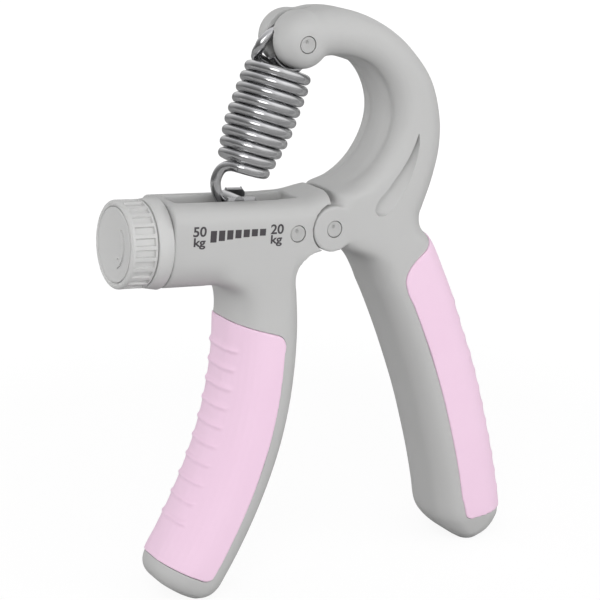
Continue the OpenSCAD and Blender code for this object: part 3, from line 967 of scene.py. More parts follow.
@dataclass(frozen=True)
class PinPlug:
    """A plug that closes a pin's hole, and the hole."""

    name: str
    at: Point
    half_depth: float
    body: str
    radius: float = 2.3
    depth: float = 1.6
    gap: float = 0.2
    sink: float = 0.12
    dish: float = 0.14
    edge: float = 0.16
    mark: Point = (-0.35, 0.7)
    mark_r: float = 0.48
    clear: float = 4.0

    def hole(self, side: Side) -> Object:
        """Makes the cutter for the plug's counterbore.

        Args:
            side: The face that it opens in.

        Returns:
            The cutter.
        """
        face = self.half_depth
        y0, y1 = sorted((side.value * (face - self.depth), side.value * (face + self.clear)))
        return cross_rod(self.at, self.radius, y0, y1)

    def make(self, side: Side) -> Object:
        """Models and places the plug.

        Args:
            side: The face that it closes.

        Returns:
            The plug.
        """
        r = self.radius - self.gap
        top = self.depth - self.sink
        profile = [(0.0, 0.0), (0.0, r), (top - self.edge, r),
                   *arc((top - self.edge, r - self.edge), self.edge, 90.0, 0.0, 4)[1:],
                   (top - self.dish * 0.3, r * 0.72), (top - self.dish, r * 0.4),
                   (top - self.dish, 0.0)]
        foot = Vector((self.at[0], side.value * (self.half_depth - self.depth), self.at[1]))
        bm = turned(profile, foot, DEPTH * side.value, AXIS, 64)
        name = f"{self.name}_{side.name.lower()}"
        plug = object_of(bm, name)
        face = self.half_depth - self.sink - self.dish
        x, z = self.at[0] + self.mark[0], self.at[1] + self.mark[1]
        tip, mouth = (Vector((x, side.value * (face + reach), z)) for reach in (-0.5, 0.5))
        mark = rod(tip, mouth, self.mark_r * 0.4, self.mark_r * 1.8, 24)
        cut(plug, object_of(mark, "mark"))
        return finished(plug, PLUG_PLASTIC, self.body, [name], sharp=50.0)


HINGE_PLUG = PinPlug("hinge_plug", (0.0, 0.0), 11.0, "right_handle")
BLOCK_PLUG = PinPlug("block_plug", (-10.9, -0.8), 11.0, "left_handle")
SPRING_PLUG = PinPlug("spring_plug", (-11.3, 47.7), 9.5, "right_handle")


@dataclass(frozen=True)
class Hinge:
    """The main hinge: two ears on the arm's side, a tongue on the barrel's."""

    ear_r: float = 6.1
    ear_y: float = 6.0
    half_depth: float = 11.0
    gap: float = 0.3


HINGE = Hinge()


@dataclass(frozen=True)
class LeftHandle:
    """The moulded body with the barrel, its channel, the hinge tongue and the left limb."""

    screw_z: float = -4.1
    half_depth: float = 11.0
    height: float = 22.4
    x0: float = -46.3
    x1: float = -0.5
    top_r: float = 5.0
    bottom_r: float = 9.0
    channel_w: float = 9.2
    channel_x0: float = -43.3
    channel_x1: float = -8.2
    hollow_at: Point = (-3.0, -12.5)
    hollow_r: float = 6.65
    hollow_h: float = 10.4
    neck_x: float = -9.0
    voxel: float = 0.4
    eased: tuple[tuple[int, Zone], ...] = (
        (14, Zone(x=(-42.0, -3.0), z=(-26.0, -7.0))),
        (240, Zone(x=(-34.0, -12.0), y=(-OPEN, 9.0), z=(-25.0, -8.0))))

    def barrel(self) -> Object:
        """The barrel, rounded more below than above."""
        low, high = self.screw_z - self.height / 2, self.screw_z + self.height / 2
        w, t, b = self.half_depth, self.top_r, self.bottom_r
        outline = [*arc((w - t, high - t), t, 0.0, 90.0, 10),
                   *arc((t - w, high - t), t, 90.0, 180.0, 10),
                   *arc((b - w, low + b), b, 180.0, 270.0, 14),
                   *arc((w - b, low + b), b, 270.0, 360.0, 14)]
        rows = [[Vector((x, y, z)) for y, z in outline] for x in (self.x0, self.x1)]
        return object_of(grid_skin(rows), "barrel")

    def nose(self) -> Object:
        """The rise of the barrel's top towards the arm."""
        crest = ((-17, 6.9), (-12.5, 7.3), (-8.5, 7.5), (-5.5, 8.1), (-2.8, 9), (self.x1, 9.6))
        low, inset, inner_r, outer_r = -3.0, 0.1, 5.5, 7.0
        rows = tuple((x, low, x, z, self.half_depth - inset, inner_r, outer_r)
                     for x, z in crest)
        return Limb(rows, steps=4).body()

    def make(self) -> Object:
        """Models and places the handle."""
        tongue_y = HINGE.ear_y - HINGE.gap
        tongue = cross_rod((0.0, 0.0), HINGE.ear_r, -tongue_y, tongue_y)
        neck = block((self.neck_x, -tongue_y, -HINGE.ear_r), (0.0, tongue_y, HINGE.ear_r))
        body = fuse([self.barrel(), self.nose(), LEFT_LIMB.body(), tongue, neck],
                    self.voxel, "left_handle")
        for rounds, zone in self.eased:
            relax(body, rounds, zone)
        for side in Side:
            y0, y1 = sorted((side.value * HINGE.ear_y, side.value * FAR))
            cut(body, cross_rod((0.0, 0.0), HINGE.ear_r + HINGE.gap, y0, y1))
        x, z = self.hollow_at
        low = z - self.hollow_r
        half, floor = self.channel_w / 2, self.screw_z - self.channel_w / 2
        cut(body, cross_rod(self.hollow_at, self.hollow_r, -FAR, FAR),
            block((x, -FAR, low), (FAR, FAR, low + self.hollow_h)),
            block((self.channel_x0, -half, floor), (self.channel_x1, half, FAR)))
        body = relax(fuse([body], self.voxel, "left_handle"), POLISH)
        cut(body, LEFT_GRIP.recess(), *(BLOCK_PLUG.hole(side) for side in Side))
        return finished(body, HANDLE_PLASTIC, "left_handle", ["left_handle"])


@dataclass(frozen=True)
class ArmGrooves:
    """The two soft grooves that leave a bead along the arm's inner side."""

    depth: float = 1.05
    at: float = 5.3
    half_width: float = 1.5
    bead: float = 0.35
    bead_half: float = 2.6
    rise: tuple[float, float] = (1.0, 2.6)
    fall: tuple[float, float] = (8.4, 10.4)

    def lift(self, place: float, along: float, depth: float, width: float) -> float:
        """Shapes the grooves and the bead between them.

        Args:
            place: The place along the arm, in stations.
            along: The distance from the inner edge.
            depth: The depth.
            width: The section's width.

        Returns:
            How far the surface stands out there.
        """
        if along > width / 2:
            return 0.0
        run = smoothstep(*self.rise, place) * (1.0 - smoothstep(*self.fall, place))
        groove = self.depth * math.exp(-(((abs(depth) - self.at) / self.half_width) ** 2))
        return run * (self.bead * math.exp(-((depth / self.bead_half) ** 2)) - groove)


@dataclass(frozen=True)
class RightHandle:
    """The moulded body with the spring head, the curved arm, the fork and the right limb."""

    head_at: Point = (-10.3, 48.3)
    head_r: float = 7.5
    head_half: float = 9.5
    head_rim: float = 5.5
    slot_w: float = 4.0
    loop_r: float = 5.75
    scoop_deep: float = 3.3
    scoop_rise: float = 0.9
    pin_hole_r: float = 1.75
    voxel: float = 0.4
    eased: tuple[tuple[int, tuple[Zone, ...]], ...] = (
        (16, (Zone(x=(-OPEN, -2.0), z=(38.0, OPEN)), Zone(x=(4.0, 12.0), z=(-OPEN, -2.0)))),
        (200, (Zone(x=(5.5, 19.0), z=(-18.0, -3.0)),)))
    lip_rounds: int = 8
    lip: Zone = Zone(x=(-OPEN, -3.0), y=(-4.5, 4.5), z=(38.0, OPEN))

    def head(self) -> Object:
        """The round spring head."""
        flat = self.head_r - self.head_rim
        straight = self.head_half - self.head_rim
        profile = [(-self.head_half, 0.0),
                   *arc((-straight, flat), self.head_rim, 180.0, 90.0, 12),
                   *arc((straight, flat), self.head_rim, 90.0, 0.0, 12),
                   (self.head_half, 0.0)]
        centre = Vector((self.head_at[0], 0.0, self.head_at[1]))
        bm = turned(profile, centre, DEPTH, AXIS, 72)
        return object_of(bm, "head")

    def slot(self) -> Object:
        """The room for the spring's loop between the lobes, and its way out in front."""
        loop = arc(SPRING_PLUG.at, self.loop_r, 0.0, 120.0, 16)
        outline = ((-20, 38), (-7, 38), (-5.6, 43), *loop, (-16.2, 51.3), (-18.2, 49.4),
                   (-20, 48))
        return slab(outline, -self.slot_w / 2, self.slot_w / 2)

    def wedge(self, rows: Sequence[Row]) -> Object:
        """An upright cutter that changes along the head.

        Args:
            rows: The x, the half width and the lower side's height at each of its sections.

        Returns:
            The closed cutter.
        """
        return object_of(grid_skin([
            [Vector((x, y, z)) for y, z in ((-w, low), (w, low), (w * 1.3, FAR), (-w * 1.3, FAR))]
            for x, w, low in rows]), "wedge")

    def scoop(self, side: Side) -> Object:
        """Makes the cutter for a teardrop scoop, deep along its upper edge.

        Args:
            side: The face of the arm that it opens in.

        Returns:
            The cutter.
        """
        pairs = ((12.9, 3.3, 13.2, 3.0), (12.05, 4.7, 15.6, 3.1), (12.7, 7.0, 18.3, 5.5),
                 (15.2, 9.9, 20.4, 8.6), (18.1, 13.7, 22.3, 12.6), (20.9, 18.0, 23.7, 17.2),
                 (22.7, 22.0, 24.2, 21.4), (23.6, 24.9, 23.8, 24.8))
        top, clear, steps, fall = HINGE.half_depth, 3.0, 12, 0.12
        rows = []
        for _, (x0, z0, x1, z1) in spline(pairs, 6):
            row = [Vector((x0, top + clear, z0))]
            for k in range(steps + 1):
                t = k / steps
                sink = self.scoop_deep * (1.0 - t) ** self.scoop_rise * smoothstep(-0.04, 0.3, t)
                row.append(Vector((x0 + (x1 - x0) * t, top - sink + fall * t,
                                   z0 + (z1 - z0) * t)))
            rows.append([*row, Vector((x1, top + clear, z1))])
        shape = object_of(grid_skin(rows), "scoop")
        if side is Side.FRONT:
            shape.data.transform(Matrix.Diagonal((1.0, -1.0, 1.0, 1.0)))
            shape.data.flip_normals()
        return shape

    def make(self) -> Object:
        """Models and places the handle."""
        ears = [cross_rod((0.0, 0.0), HINGE.ear_r, *sorted(
            (side.value * HINGE.ear_y, side.value * HINGE.half_depth))) for side in Side]
        arm = RIGHT_LIMB.body(relief=ArmGrooves().lift)
        body = fuse([arm, self.head(), *ears], self.voxel, "right_handle")
        for rounds, zones in self.eased:
            relax(body, rounds, *zones)
        cut(body, cross_rod((0.0, 0.0), HINGE.ear_r + HINGE.gap, -HINGE.ear_y, HINGE.ear_y),
            self.slot())
        body = relax(fuse([body], self.voxel, "right_handle"), POLISH)
        relax(body, self.lip_rounds, self.lip)
        split = self.wedge(((-20, 1.6, 46), (-17.5, 1.35, 48), (-16, 1.05, 50.5),
                            (-14, 0.82, 52), (-12, 0.7, 52.8), (-10, 0.56, 53.6),
                            (-8.5, 0.42, 54.2), (-7, 0.24, 54.6), (-5.6, 0.03, 54.8)))
        cut(body, split, *(self.scoop(side) for side in Side), RIGHT_GRIP.recess(),
            cross_rod(SPRING_PLUG.at, self.pin_hole_r, -FAR, FAR),
            *(plug.hole(side) for side in Side for plug in (HINGE_PLUG, SPRING_PLUG)))
        return finished(body, HANDLE_PLASTIC, "right_handle",
                        ["right_handle"])


# ---- Dial and screw ------------------------------------------------------


@dataclass(frozen=True)
class Dial:
    """The adjusting dial with its cap, the collar behind it and the lead screw."""

    screw_z: float = -4.1
    x0: float = -57.9
    x1: float = -50.7
    radius: float = 11.3
    pockets: int = 24
    rib_steps: int = 3
    pocket_steps: int = 6
    front_rim: float = 1.1
    rear_rim: float = 0.75
    pocket_depth: float = 0.6
    edge: float = 0.9
    cap_r: float = 9.7
    cap_t: float = 1.5
    seam: float = 0.1
    collar_gap: float = 0.24
    collar_x1: float = -46.48
    collar_r: Point = (11.35, 11.9)
    collar_bore: float = 4.0
    bore: float = 3.0
    chamfer: float = 0.35
    room: float = 0.1

    def centre(self, x: float) -> Vector:
        """Finds a point of the screw's axis.

        Args:
            x: Where along the barrel it is.

        Returns:
            The point.
        """
        return Vector((x, 0.0, self.screw_z))

    def make_dial(self) -> Object:
        """The turned dial, with shallow pockets between its ribs."""
        length, r = self.x1 - self.x0, self.radius
        floor, chamfer = self.cap_t + self.room, self.chamfer
        profile = [(floor, self.bore), (floor, self.cap_r), (chamfer, self.cap_r),
                   (0.1, self.cap_r + 0.3),
                   *arc((self.edge, r - self.edge), self.edge, 180.0, 90.0, 8),
                   (self.front_rim, r), (length - self.rear_rim, r), (length - chamfer, r),
                   (length, r - chamfer), (length, self.bore), (floor, self.bore)]
        steps = self.pockets * (self.rib_steps + self.pocket_steps)
        bm = turned(profile, self.centre(self.x0), AXIS, UP, steps)
        bmesh.ops.recalc_face_normals(bm, faces=bm.faces)
        bmesh.ops.inset_region(bm, faces=self.pocket_faces(bm), thickness=0.16,
                               depth=-self.pocket_depth, use_even_offset=True)
        return finished(object_of(bm, "dial"), DIAL_PLASTIC, "adjuster",
                        ["dial"], sharp=55.0)

    def pocket_faces(self, bm: BMesh) -> list[BMFace]:
        """Finds the faces of the dial's band that lie between its ribs.

        Args:
            bm: The turned dial.

        Returns:
            The faces.
        """
        share = FULL_TURN / self.pockets
        rib = self.rib_steps / (self.rib_steps + self.pocket_steps)
        skin = 0.3
        found = []
        for face in bm.faces:
            p = face.calc_center_median() - self.centre(self.x0)
            reach = math.hypot(p.y, p.z)
            band = self.front_rim < p.x < self.x1 - self.x0 - self.rear_rim
            if band and reach > self.radius - skin:
                turn = (math.atan2(p.y, p.z) / share + 0.5) % 1.0
                if rib / 2 < turn < 1.0 - rib / 2:
                    found.append(face)
        return found

    def make_cap(self) -> Object:
        """The cap pressed into the dial's face, slightly dished."""
        r, proud, edge = self.cap_r - self.seam, 0.06, 0.24
        profile = [(self.cap_t, 0.0), (self.cap_t, r), (0.3, r),
                   *arc((proud + edge, r - edge), edge, 90.0, 180.0, 4),
                   (0.2, r * 0.86), (0.34, r * 0.6), (0.42, r * 0.3), (0.44, 0.0)]
        bm = turned(profile, self.centre(self.x0), AXIS, UP, 128)
        return finished(object_of(bm, "dial_cap"), DIAL_PLASTIC, "adjuster",
                        ["dial_cap"], sharp=55.0)

    def make_arrow(self) -> Object:
        """The plain turning arrow raised on the cap: a curved bar with a head."""
        radius, half_w, steps = 5.2, 0.6, 40
        first, last, tip_turn = 52.0, -44.0, 9.0
        head_r, height, sunk = 1.5, 0.5, 0.46
        bm = bmesh.new()
        bmesh.ops.create_grid(bm, x_segments=steps, y_segments=2, size=1.0)
        for vert in bm.verts:
            turn = math.radians(first + (last - first) * (vert.co.x + 1.0) / 2.0)
            reach = radius + vert.co.y * half_w
            vert.co = Vector((0.0, -reach * math.cos(turn), reach * math.sin(turn)))
        tip = math.radians(last - tip_turn)
        way = Vector((0.0, -math.cos(tip), math.sin(tip)))
        turn = Matrix.Translation(way * radius) @ Matrix.Rotation(-tip, 4, "X")
        head = bmesh.ops.create_circle(bm, cap_ends=True, segments=3,
                                       radius=head_r)["verts"]
        bmesh.ops.transform(bm, verts=head, matrix=turn @ Matrix.Rotation(math.pi / 2, 4, "Y"))
        pulled = bmesh.ops.extrude_face_region(bm, geom=bm.faces[:])["geom"]
        raised = [item for item in pulled if isinstance(item, BMVert)]
        bmesh.ops.translate(bm, verts=raised, vec=AXIS * -height)
        bmesh.ops.translate(bm, verts=bm.verts, vec=self.centre(self.x0 + sunk))
        return finished(object_of(bm, "cap_arrow"), DIAL_PLASTIC, "adjuster")

    def make_collar(self) -> Object:
        """The conical ring that closes the barrel's end."""
        length = self.collar_x1 - (self.x1 + self.collar_gap)
        a, b = self.collar_r
        bore, edge, chamfer = self.collar_bore, 0.4, self.chamfer
        profile = [(0.0, bore), (0.0, a - edge),
                   *arc((edge, a - edge), edge, 180.0, 100.0, 5)[1:],
                   (length - chamfer, b), (length, b - chamfer), (length, bore), (0.0, bore)]
        bm = turned(profile, self.centre(self.x1 + self.collar_gap), AXIS, UP, 160)
        return finished(object_of(bm, "end_collar"), DIAL_PLASTIC, "left_handle",
                        ["end_collar"], sharp=55.0)

    def make_screw(self) -> Object:
        """The threaded part of the lead screw."""
        start, end, pitch, outer, root = -50.0, -14.0, 1.0, 2.98, 2.45
        steps, rise, fall, weld = 28, 0.42, 0.58, 1e-3
        bm = bmesh.new()
        crest = [(0.0, root), (pitch * rise, outer), (pitch * fall, outer), (pitch, root)]
        verts = [bm.verts.new(self.centre(start + s) + UP * r) for s, r in crest]
        edges = [bm.edges.new(pair) for pair in zip(verts, verts[1:])]
        turns = int((end - start) / pitch)
        bmesh.ops.spin(bm, geom=verts + edges, cent=self.centre(start), axis=AXIS,
                       dvec=AXIS * pitch / steps, angle=FULL_TURN * turns, steps=steps * turns)
        bmesh.ops.remove_doubles(bm, verts=bm.verts, dist=weld)
        rims = [edge for edge in bm.edges if edge.is_boundary]
        bmesh.ops.holes_fill(bm, edges=rims, sides=0)
        return finished(object_of(bm, "screw_thread"), STEEL, "adjuster", sharp=25.0)

    def make(self) -> None:
        """Makes the dial, its cap, its arrow, the collar and the thread."""
        self.make_dial()
        self.make_cap()
        self.make_arrow()
        self.make_collar()
        self.make_screw()


# ---- Spring --------------------------------------------------------------


@dataclass(frozen=True)
class Spring:
    """The extension spring: a tapered coil between two hooks."""

    foot: Point = (-25.2, 6.8)
    top: Point = (-11.3, 47.7)
    wire_d: float = 2.72
    coil_r: float = 9.05
    pitch: float = 2.9
    turns: int = 10
    start: float = 7.7
    end_angle: float = 50.0
    low_taper: float = 2.2
    low_part: float = 0.45
    top_taper: float = 0.8
    top_part: float = 0.18
    ring_points: int = 42
    leg_points: int = 10
    taper_power: float = 1.5

    def axes(self) -> tuple[Vector, Vector, Vector]:
        """The foot, the direction along the spring and the one across it."""
        foot = Vector((self.foot[0], 0.0, self.foot[1]))
        along = (Vector((self.top[0], 0.0, self.top[1])) - foot).normalized()
        return foot, along, Vector((along.z, 0.0, -along.x))

    def place(self, s: float, across: float, depth: float) -> Vector:
        """Finds a point given by the spring's own axes.

        Args:
            s: How far it is along the spring from its foot.
            across: How far it is to the side.
            depth: Its depth.

        Returns:
            The point about the hinge.
        """
        foot, along, side = self.axes()
        return foot + along * s + side * across + Vector((0.0, depth, 0.0))

    def radius_at(self, share: float) -> float:
        """Tapers the coil towards its ends.

        Args:
            share: The share of its length.

        Returns:
            The radius of the wire's middle there.
        """
        low = max(0.0, 1.0 - share / self.low_part) ** self.taper_power
        high = max(0.0, 1.0 - (1.0 - share) / self.top_part) ** self.taper_power
        return self.coil_r - self.wire_d / 2 - self.low_taper * low - self.top_taper * high

    def coil_point(self, angle: float) -> Vector:
        """Finds the wire's middle.

        Args:
            angle: The angle in degrees, counted up the coil.

        Returns:
            The point there.
        """
        r = self.radius_at(angle / 360.0 / self.turns)
        turn = math.radians(angle)
        return self.place(self.start + self.pitch * angle / 360.0, -r * math.cos(turn),
                          -r * math.sin(turn))

    def coil(self) -> list[Vector]:
        """The coil's path, from the lower end to the upper."""
        first, last = self.end_angle, 360.0 * self.turns - self.end_angle
        count = round((last - first) / 360.0 * self.ring_points)
        return [self.coil_point(first + (last - first) * k / count) for k in range(count + 1)]

    def low_leg(self, coil: Sequence[Vector]) -> list[Vector]:
        """Leads from the lower hook to the coil.

        Args:
            coil: The coil's path.

        Returns:
            The leg's path.
        """
        hook = [(s, across, 0.0) for s, across in arc((0.85, 0.0), 3.6, 110.0, 230.0, 6)]
        leg = [*hook, (0.2, -4.7, 0.0), (2.6, -6.1, 0.0), (5.0, -6.4, -0.3), (6.8, -6.0, -1.1),
               (7.8, -4.9, -2.5)]
        knots = [tuple(self.place(*p)) for p in leg] + [tuple(coil[0]), tuple(coil[3])]
        path = spline(knots, self.leg_points)
        return [Vector(p) for k, p in path if k <= len(leg)]

    def top_leg(self, coil: Sequence[Vector]) -> list[Vector]:
        """Leads from the coil round the upper hook to the end of its tail.

        Args:
            coil: The coil's path.

        Returns:
            The leg's path.
        """
        end = self.start + self.pitch * self.turns
        length = math.hypot(self.top[0] - self.foot[0], self.top[1] - self.foot[1])
        loop = [(s, across, 0.0)
                for s, across in arc((length - 0.75, -0.35), 4.1, -40.0, 100.0, 7)]
        tail = [(end + 3.3, 4.7, 0.0), (end + 1.3, 4.9, 0.0), (end - 0.2, 3.7, 0.0),
                (end - 0.7, 1.2, 0.0), (end - 0.1, -1.2, 0.0), (end + 1.2, -3.3, 0.0)]
        leg = [(end, -5.9, 3.2), (end + 0.6, -7.1, 1.4), (end + 1.9, -7.5, 0.3),
               (end + 3.6, -7.4, 0.0), (end + 6.2, -5.9, 0.0), *loop,
               *tail]
        knots = [tuple(coil[-4]), tuple(coil[-1])] + [tuple(self.place(*p)) for p in leg]
        return [Vector(p) for k, p in spline(knots, self.leg_points) if k >= 1.0]

    def wire(self, path: Sequence[Vector], name: str) -> Object:
        """Round wire along a path.

        Args:
            path: The wire's middle line, in millimetres about the hinge.
            name: The piece's name.

        Returns:
            The wire as a mesh, in the frame's metres.
        """
        curve = bpy.data.curves.new(name, "CURVE")
        curve.dimensions = "3D"
        curve.bevel_depth = self.wire_d / 2 * STANCE.metre
        curve.bevel_resolution = 7
        curve.use_fill_caps = True
        line = curve.splines.new("POLY")
        line.points.add(len(path) - 1)
        for point, at in zip(line.points, path):
            point.co = (*STANCE.point(at), 1.0)
        mesh = drawn_mesh(name + "_line", curve)
        weld = 1e-7
        bm = bmesh.new()
        bm.from_mesh(mesh)
        bmesh.ops.remove_doubles(bm, verts=bm.verts, dist=weld)
        bmesh.ops.recalc_face_normals(bm, faces=bm.faces)
        bm.to_mesh(mesh)
        bm.free()
        return show(name, mesh)

    def make(self) -> None:
        """Makes the two hooks and the coil between them."""
        coil = self.coil()
        hook = self.wire(self.top_leg(coil), "spring_top_hook")
        finished(hook, SPRING_STEEL, "spring_top", ["spring_top_hook"],
                 placed=True)
        turns = self.wire(coil, "spring_coil")
        finished(turns, SPRING_STEEL, "", ["spring_coil"], placed=True)
        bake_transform(turns)
        low = self.wire(self.low_leg(coil), "spring_bottom_hook")
        finished(low, SPRING_STEEL, "", ["spring_bottom_hook"], placed=True)
        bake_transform(low)


# ---- Carriage ------------------------------------------------------------


@dataclass(frozen=True)
class Carriage:
    """The folded bracket that slides in the channel and holds the spring's foot."""

    x0: float = -28.5
    length: float = 9.0
    base: float = -8.4
    top: float = 8.8
    half_width: float = 4.3
    sheet: float = 1.0
    bend: float = 1.2
    rim: float = 0.55
    fold_z: float = 2.0
    play: float = 0.04
    edge: float = 0.18
    columns: int = 18
    # The band along the bracket, from its start, whose inner faces keep the plain steel, clear of
    # the painted shade.
    bright: Point = (3.0, 3.7)

    def corners(self) -> list[tuple[Side, tuple[float, ...], tuple[float, ...]]]:
        """The cuts that slope the ends of the two walls, as a side, a point and a normal."""
        x0, x1, top = self.x0, self.x0 + self.length, self.top
        return [(Side.FRONT, (x1, 0, top - 2.6), (3.0, 0, 2.1)),
                (Side.FRONT, (x0, 0, top - 0.9), (0, 0, 1)),
                (Side.REAR, (x1, 0, top - 1.2), (1.2, 0, 1.0)),
                (Side.REAR, (x0 + 2.6, 0, top - 2.6), (-2.6, 0, 0.9))]

    def middle_y(self, item: BMVert | BMEdge | BMFace) -> float:
        """Finds which wall a piece of the mesh is in.

        Args:
            item: A vertex, an edge or a face.

        Returns:
            The depth of its middle.
        """
        verts = [item] if isinstance(item, BMVert) else item.verts
        return sum(vert.co.y for vert in verts) / len(verts)

    def make(self) -> Object:
        """Models and places the bracket."""
        y, b = self.half_width - self.sheet / 2, self.bend
        low = self.base + self.sheet / 2
        fold = [(-y, self.top), (-y, self.fold_z), *arc((b - y, low + b), b, 180.0, 270.0, 6),
                *arc((y - b, low + b), b, 270.0, 360.0, 6), (y, self.fold_z),
                (y, self.top)]
        bm = bmesh.new()
        columns = self.columns
        bmesh.ops.create_grid(bm, x_segments=columns, y_segments=len(fold) - 1, size=1.0)
        for index, vert in enumerate(bm.verts):
            row, column = divmod(index, columns + 1)
            x = self.x0 + self.length * column / columns
            vert.co = Vector((x, fold[row][0], fold[row][1]))
        for side, at, normal in self.corners():
            near = [item for item in (*bm.verts, *bm.edges, *bm.faces)
                    if self.middle_y(item) * side.value > 0.0]
            bmesh.ops.bisect_plane(bm, geom=near, plane_co=at, plane_no=normal,
                                   clear_outer=True)
        bracket = object_of(bm, "carriage")
        wall = bracket.modifiers.new("wall", "SOLIDIFY")
        wall.thickness = self.sheet - self.play
        wall.offset = 0.0
        edge = bracket.modifiers.new("edge", "BEVEL")
        edge.width = self.edge
        edge.segments = 2
        edge.limit_method = "ANGLE"
        settle(bracket)
        # Cuts the mesh where the painted shade on the inner faces stops: at the lip, and about the
        # bright band.
        lip = self.top - self.rim
        first, last = (self.x0 + x for x in self.bright)
        bm = bmesh.new()
        bm.from_mesh(bracket.data)
        for at, normal in (((first, 0, 0), AXIS), ((last, 0, 0), AXIS), ((0, 0, lip), UP)):
            bmesh.ops.bisect_plane(bm, geom=[*bm.verts, *bm.edges, *bm.faces], plane_co=at,
                                   plane_no=normal)
        bm.to_mesh(bracket.data)
        bm.free()
        # Painted shade: the walls' inner faces, except the lip and the bright band, take
        # near-black steel in place of the shade inside the bracket.
        painted_shade = []
        for face in bracket.data.polygons:
            inside = -face.normal.y * math.copysign(1.0, face.center.y) > 0.6
            bright = face.center.z > lip or first < face.center.x < last
            painted_shade.append(int(inside and not bright))
        finished(bracket, STEEL, "carriage", ["carriage"])
        bracket.data.materials.append(DARK_STEEL_AND_SHADE.material())
        bracket.data.polygons.foreach_set("material_index", painted_shade)
        return bracket


# ---- Scale ---------------------------------------------------------------


@dataclass(frozen=True)
class Scale:
    """The plain printed scale on the front of the barrel: seven bars between two weights."""

    face_y: float = -11.0
    ink: float = 0.02
    first_x: float = -36.4
    pitch: float = 2.35
    bar_w: float = 1.75
    bars: int = 7
    top_z: float = 1.0
    first_drop: float = 3.0
    last_drop: float = 1.8
    drop_power: float = 1.6
    weight: float = 0.085

    def bar_drop(self, k: int) -> float:
        """Shortens the bars towards the light end.

        Args:
            k: The bar's number.

        Returns:
            Its height.
        """
        share = k / (self.bars - 1)
        return self.last_drop + (self.first_drop - self.last_drop) * (
            1.0 - share) ** self.drop_power

    def words(self, text: str, x: float, z: float, size: float, wide: float) -> Object:
        """One line of print as a thin solid.

        Args:
            text: What it says.
            x: Its middle along the barrel.
            z: Its base line.
            size: The size of its letters.
            wide: How much they are stretched along the barrel.

        Returns:
            The print, in millimetres about the hinge.
        """
        curve = bpy.data.curves.new("print", "FONT")
        curve.body = text
        curve.size = size
        curve.align_x = "CENTER"
        curve.extrude = self.ink / 2
        curve.offset = self.weight
        mesh = drawn_mesh("print", curve)
        mesh.transform(Matrix.Translation((x, self.face_y - self.ink / 2, z))
                       @ Matrix.Rotation(math.pi / 2, 4, "X")
                       @ Matrix.Diagonal((wide, 1.0, 1.0, 1.0)))
        return show("print", mesh)

    def make(self) -> Object:
        """Makes the whole print as one piece."""
        parts = []
        for k in range(self.bars):
            x = self.first_x + k * self.pitch
            parts.append(block((x, self.face_y - self.ink, self.top_z - self.bar_drop(k)),
                               (x + self.bar_w, self.face_y, self.top_z)))
        for text, x, z, size, wide in (
                ("50", -39.5, -0.3, 3.5, 1.1), ("kg", -39.5, -2.85, 3.1, 1.2),
                ("20", -17.25, -0.45, 3.5, 1.1), ("kg", -17.4, -2.95, 3.1, 1.2)):
            parts.append(self.words(text, x, z, size, wide))
        bm = bmesh.new()
        for part in parts:
            bm.from_mesh(part.data)
            bpy.data.objects.remove(part)
        return finished(object_of(bm, "scale_print"), INK, "left_handle",
                        sharp=30.0)


# ---- Studio --------------------------------------------------------------


@dataclass(frozen=True)
class Camera:
    """The camera, placed so that the hinge's front face shows where it should."""

    azimuth: float = -31.0
    elevation: float = 14.0
    roll: float = 4.5
    distance: float = 495.0
    target: tuple[float, float, float] = (0.0, -11.0, 0.0)
    target_pixel: Point = (334.8, 229.4)
    frame: float = 600.0
    focal_pixels: float = 1900.0
    sensor: float = 36.0

    def make(self) -> Object:
        """Builds the camera and makes it the scene's own."""
        a, e, r = (math.radians(v) for v in (self.azimuth, self.elevation, self.roll))
        back = Vector((math.sin(a) * math.cos(e), -math.cos(a) * math.cos(e), math.sin(e)))
        level = Vector((math.cos(a), math.sin(a), 0.0))
        upright = back.cross(level)
        right = level * math.cos(r) + upright * math.sin(r)
        up = upright * math.cos(r) - level * math.sin(r)
        u = (self.target_pixel[0] - self.frame / 2) / self.focal_pixels
        v = -(self.target_pixel[1] - self.frame / 2) / self.focal_pixels
        at = Vector(self.target) - self.distance * (right * u + up * v - back)
        turn = Matrix((right, up, back)).transposed().to_4x4()
        lens = bpy.data.cameras.new("camera")
        lens.sensor_width = self.sensor
        lens.lens = self.sensor * self.focal_pixels / self.frame
        lens.clip_start, lens.clip_end = 0.01, 50.0
        camera = show("camera", lens)
        lean = Matrix.Rotation(math.radians(STANCE.lean), 4, "Y")
        camera.matrix_world = Matrix.Translation(STANCE.point(at)) @ lean @ turn
        bpy.context.scene.camera = camera
        return camera


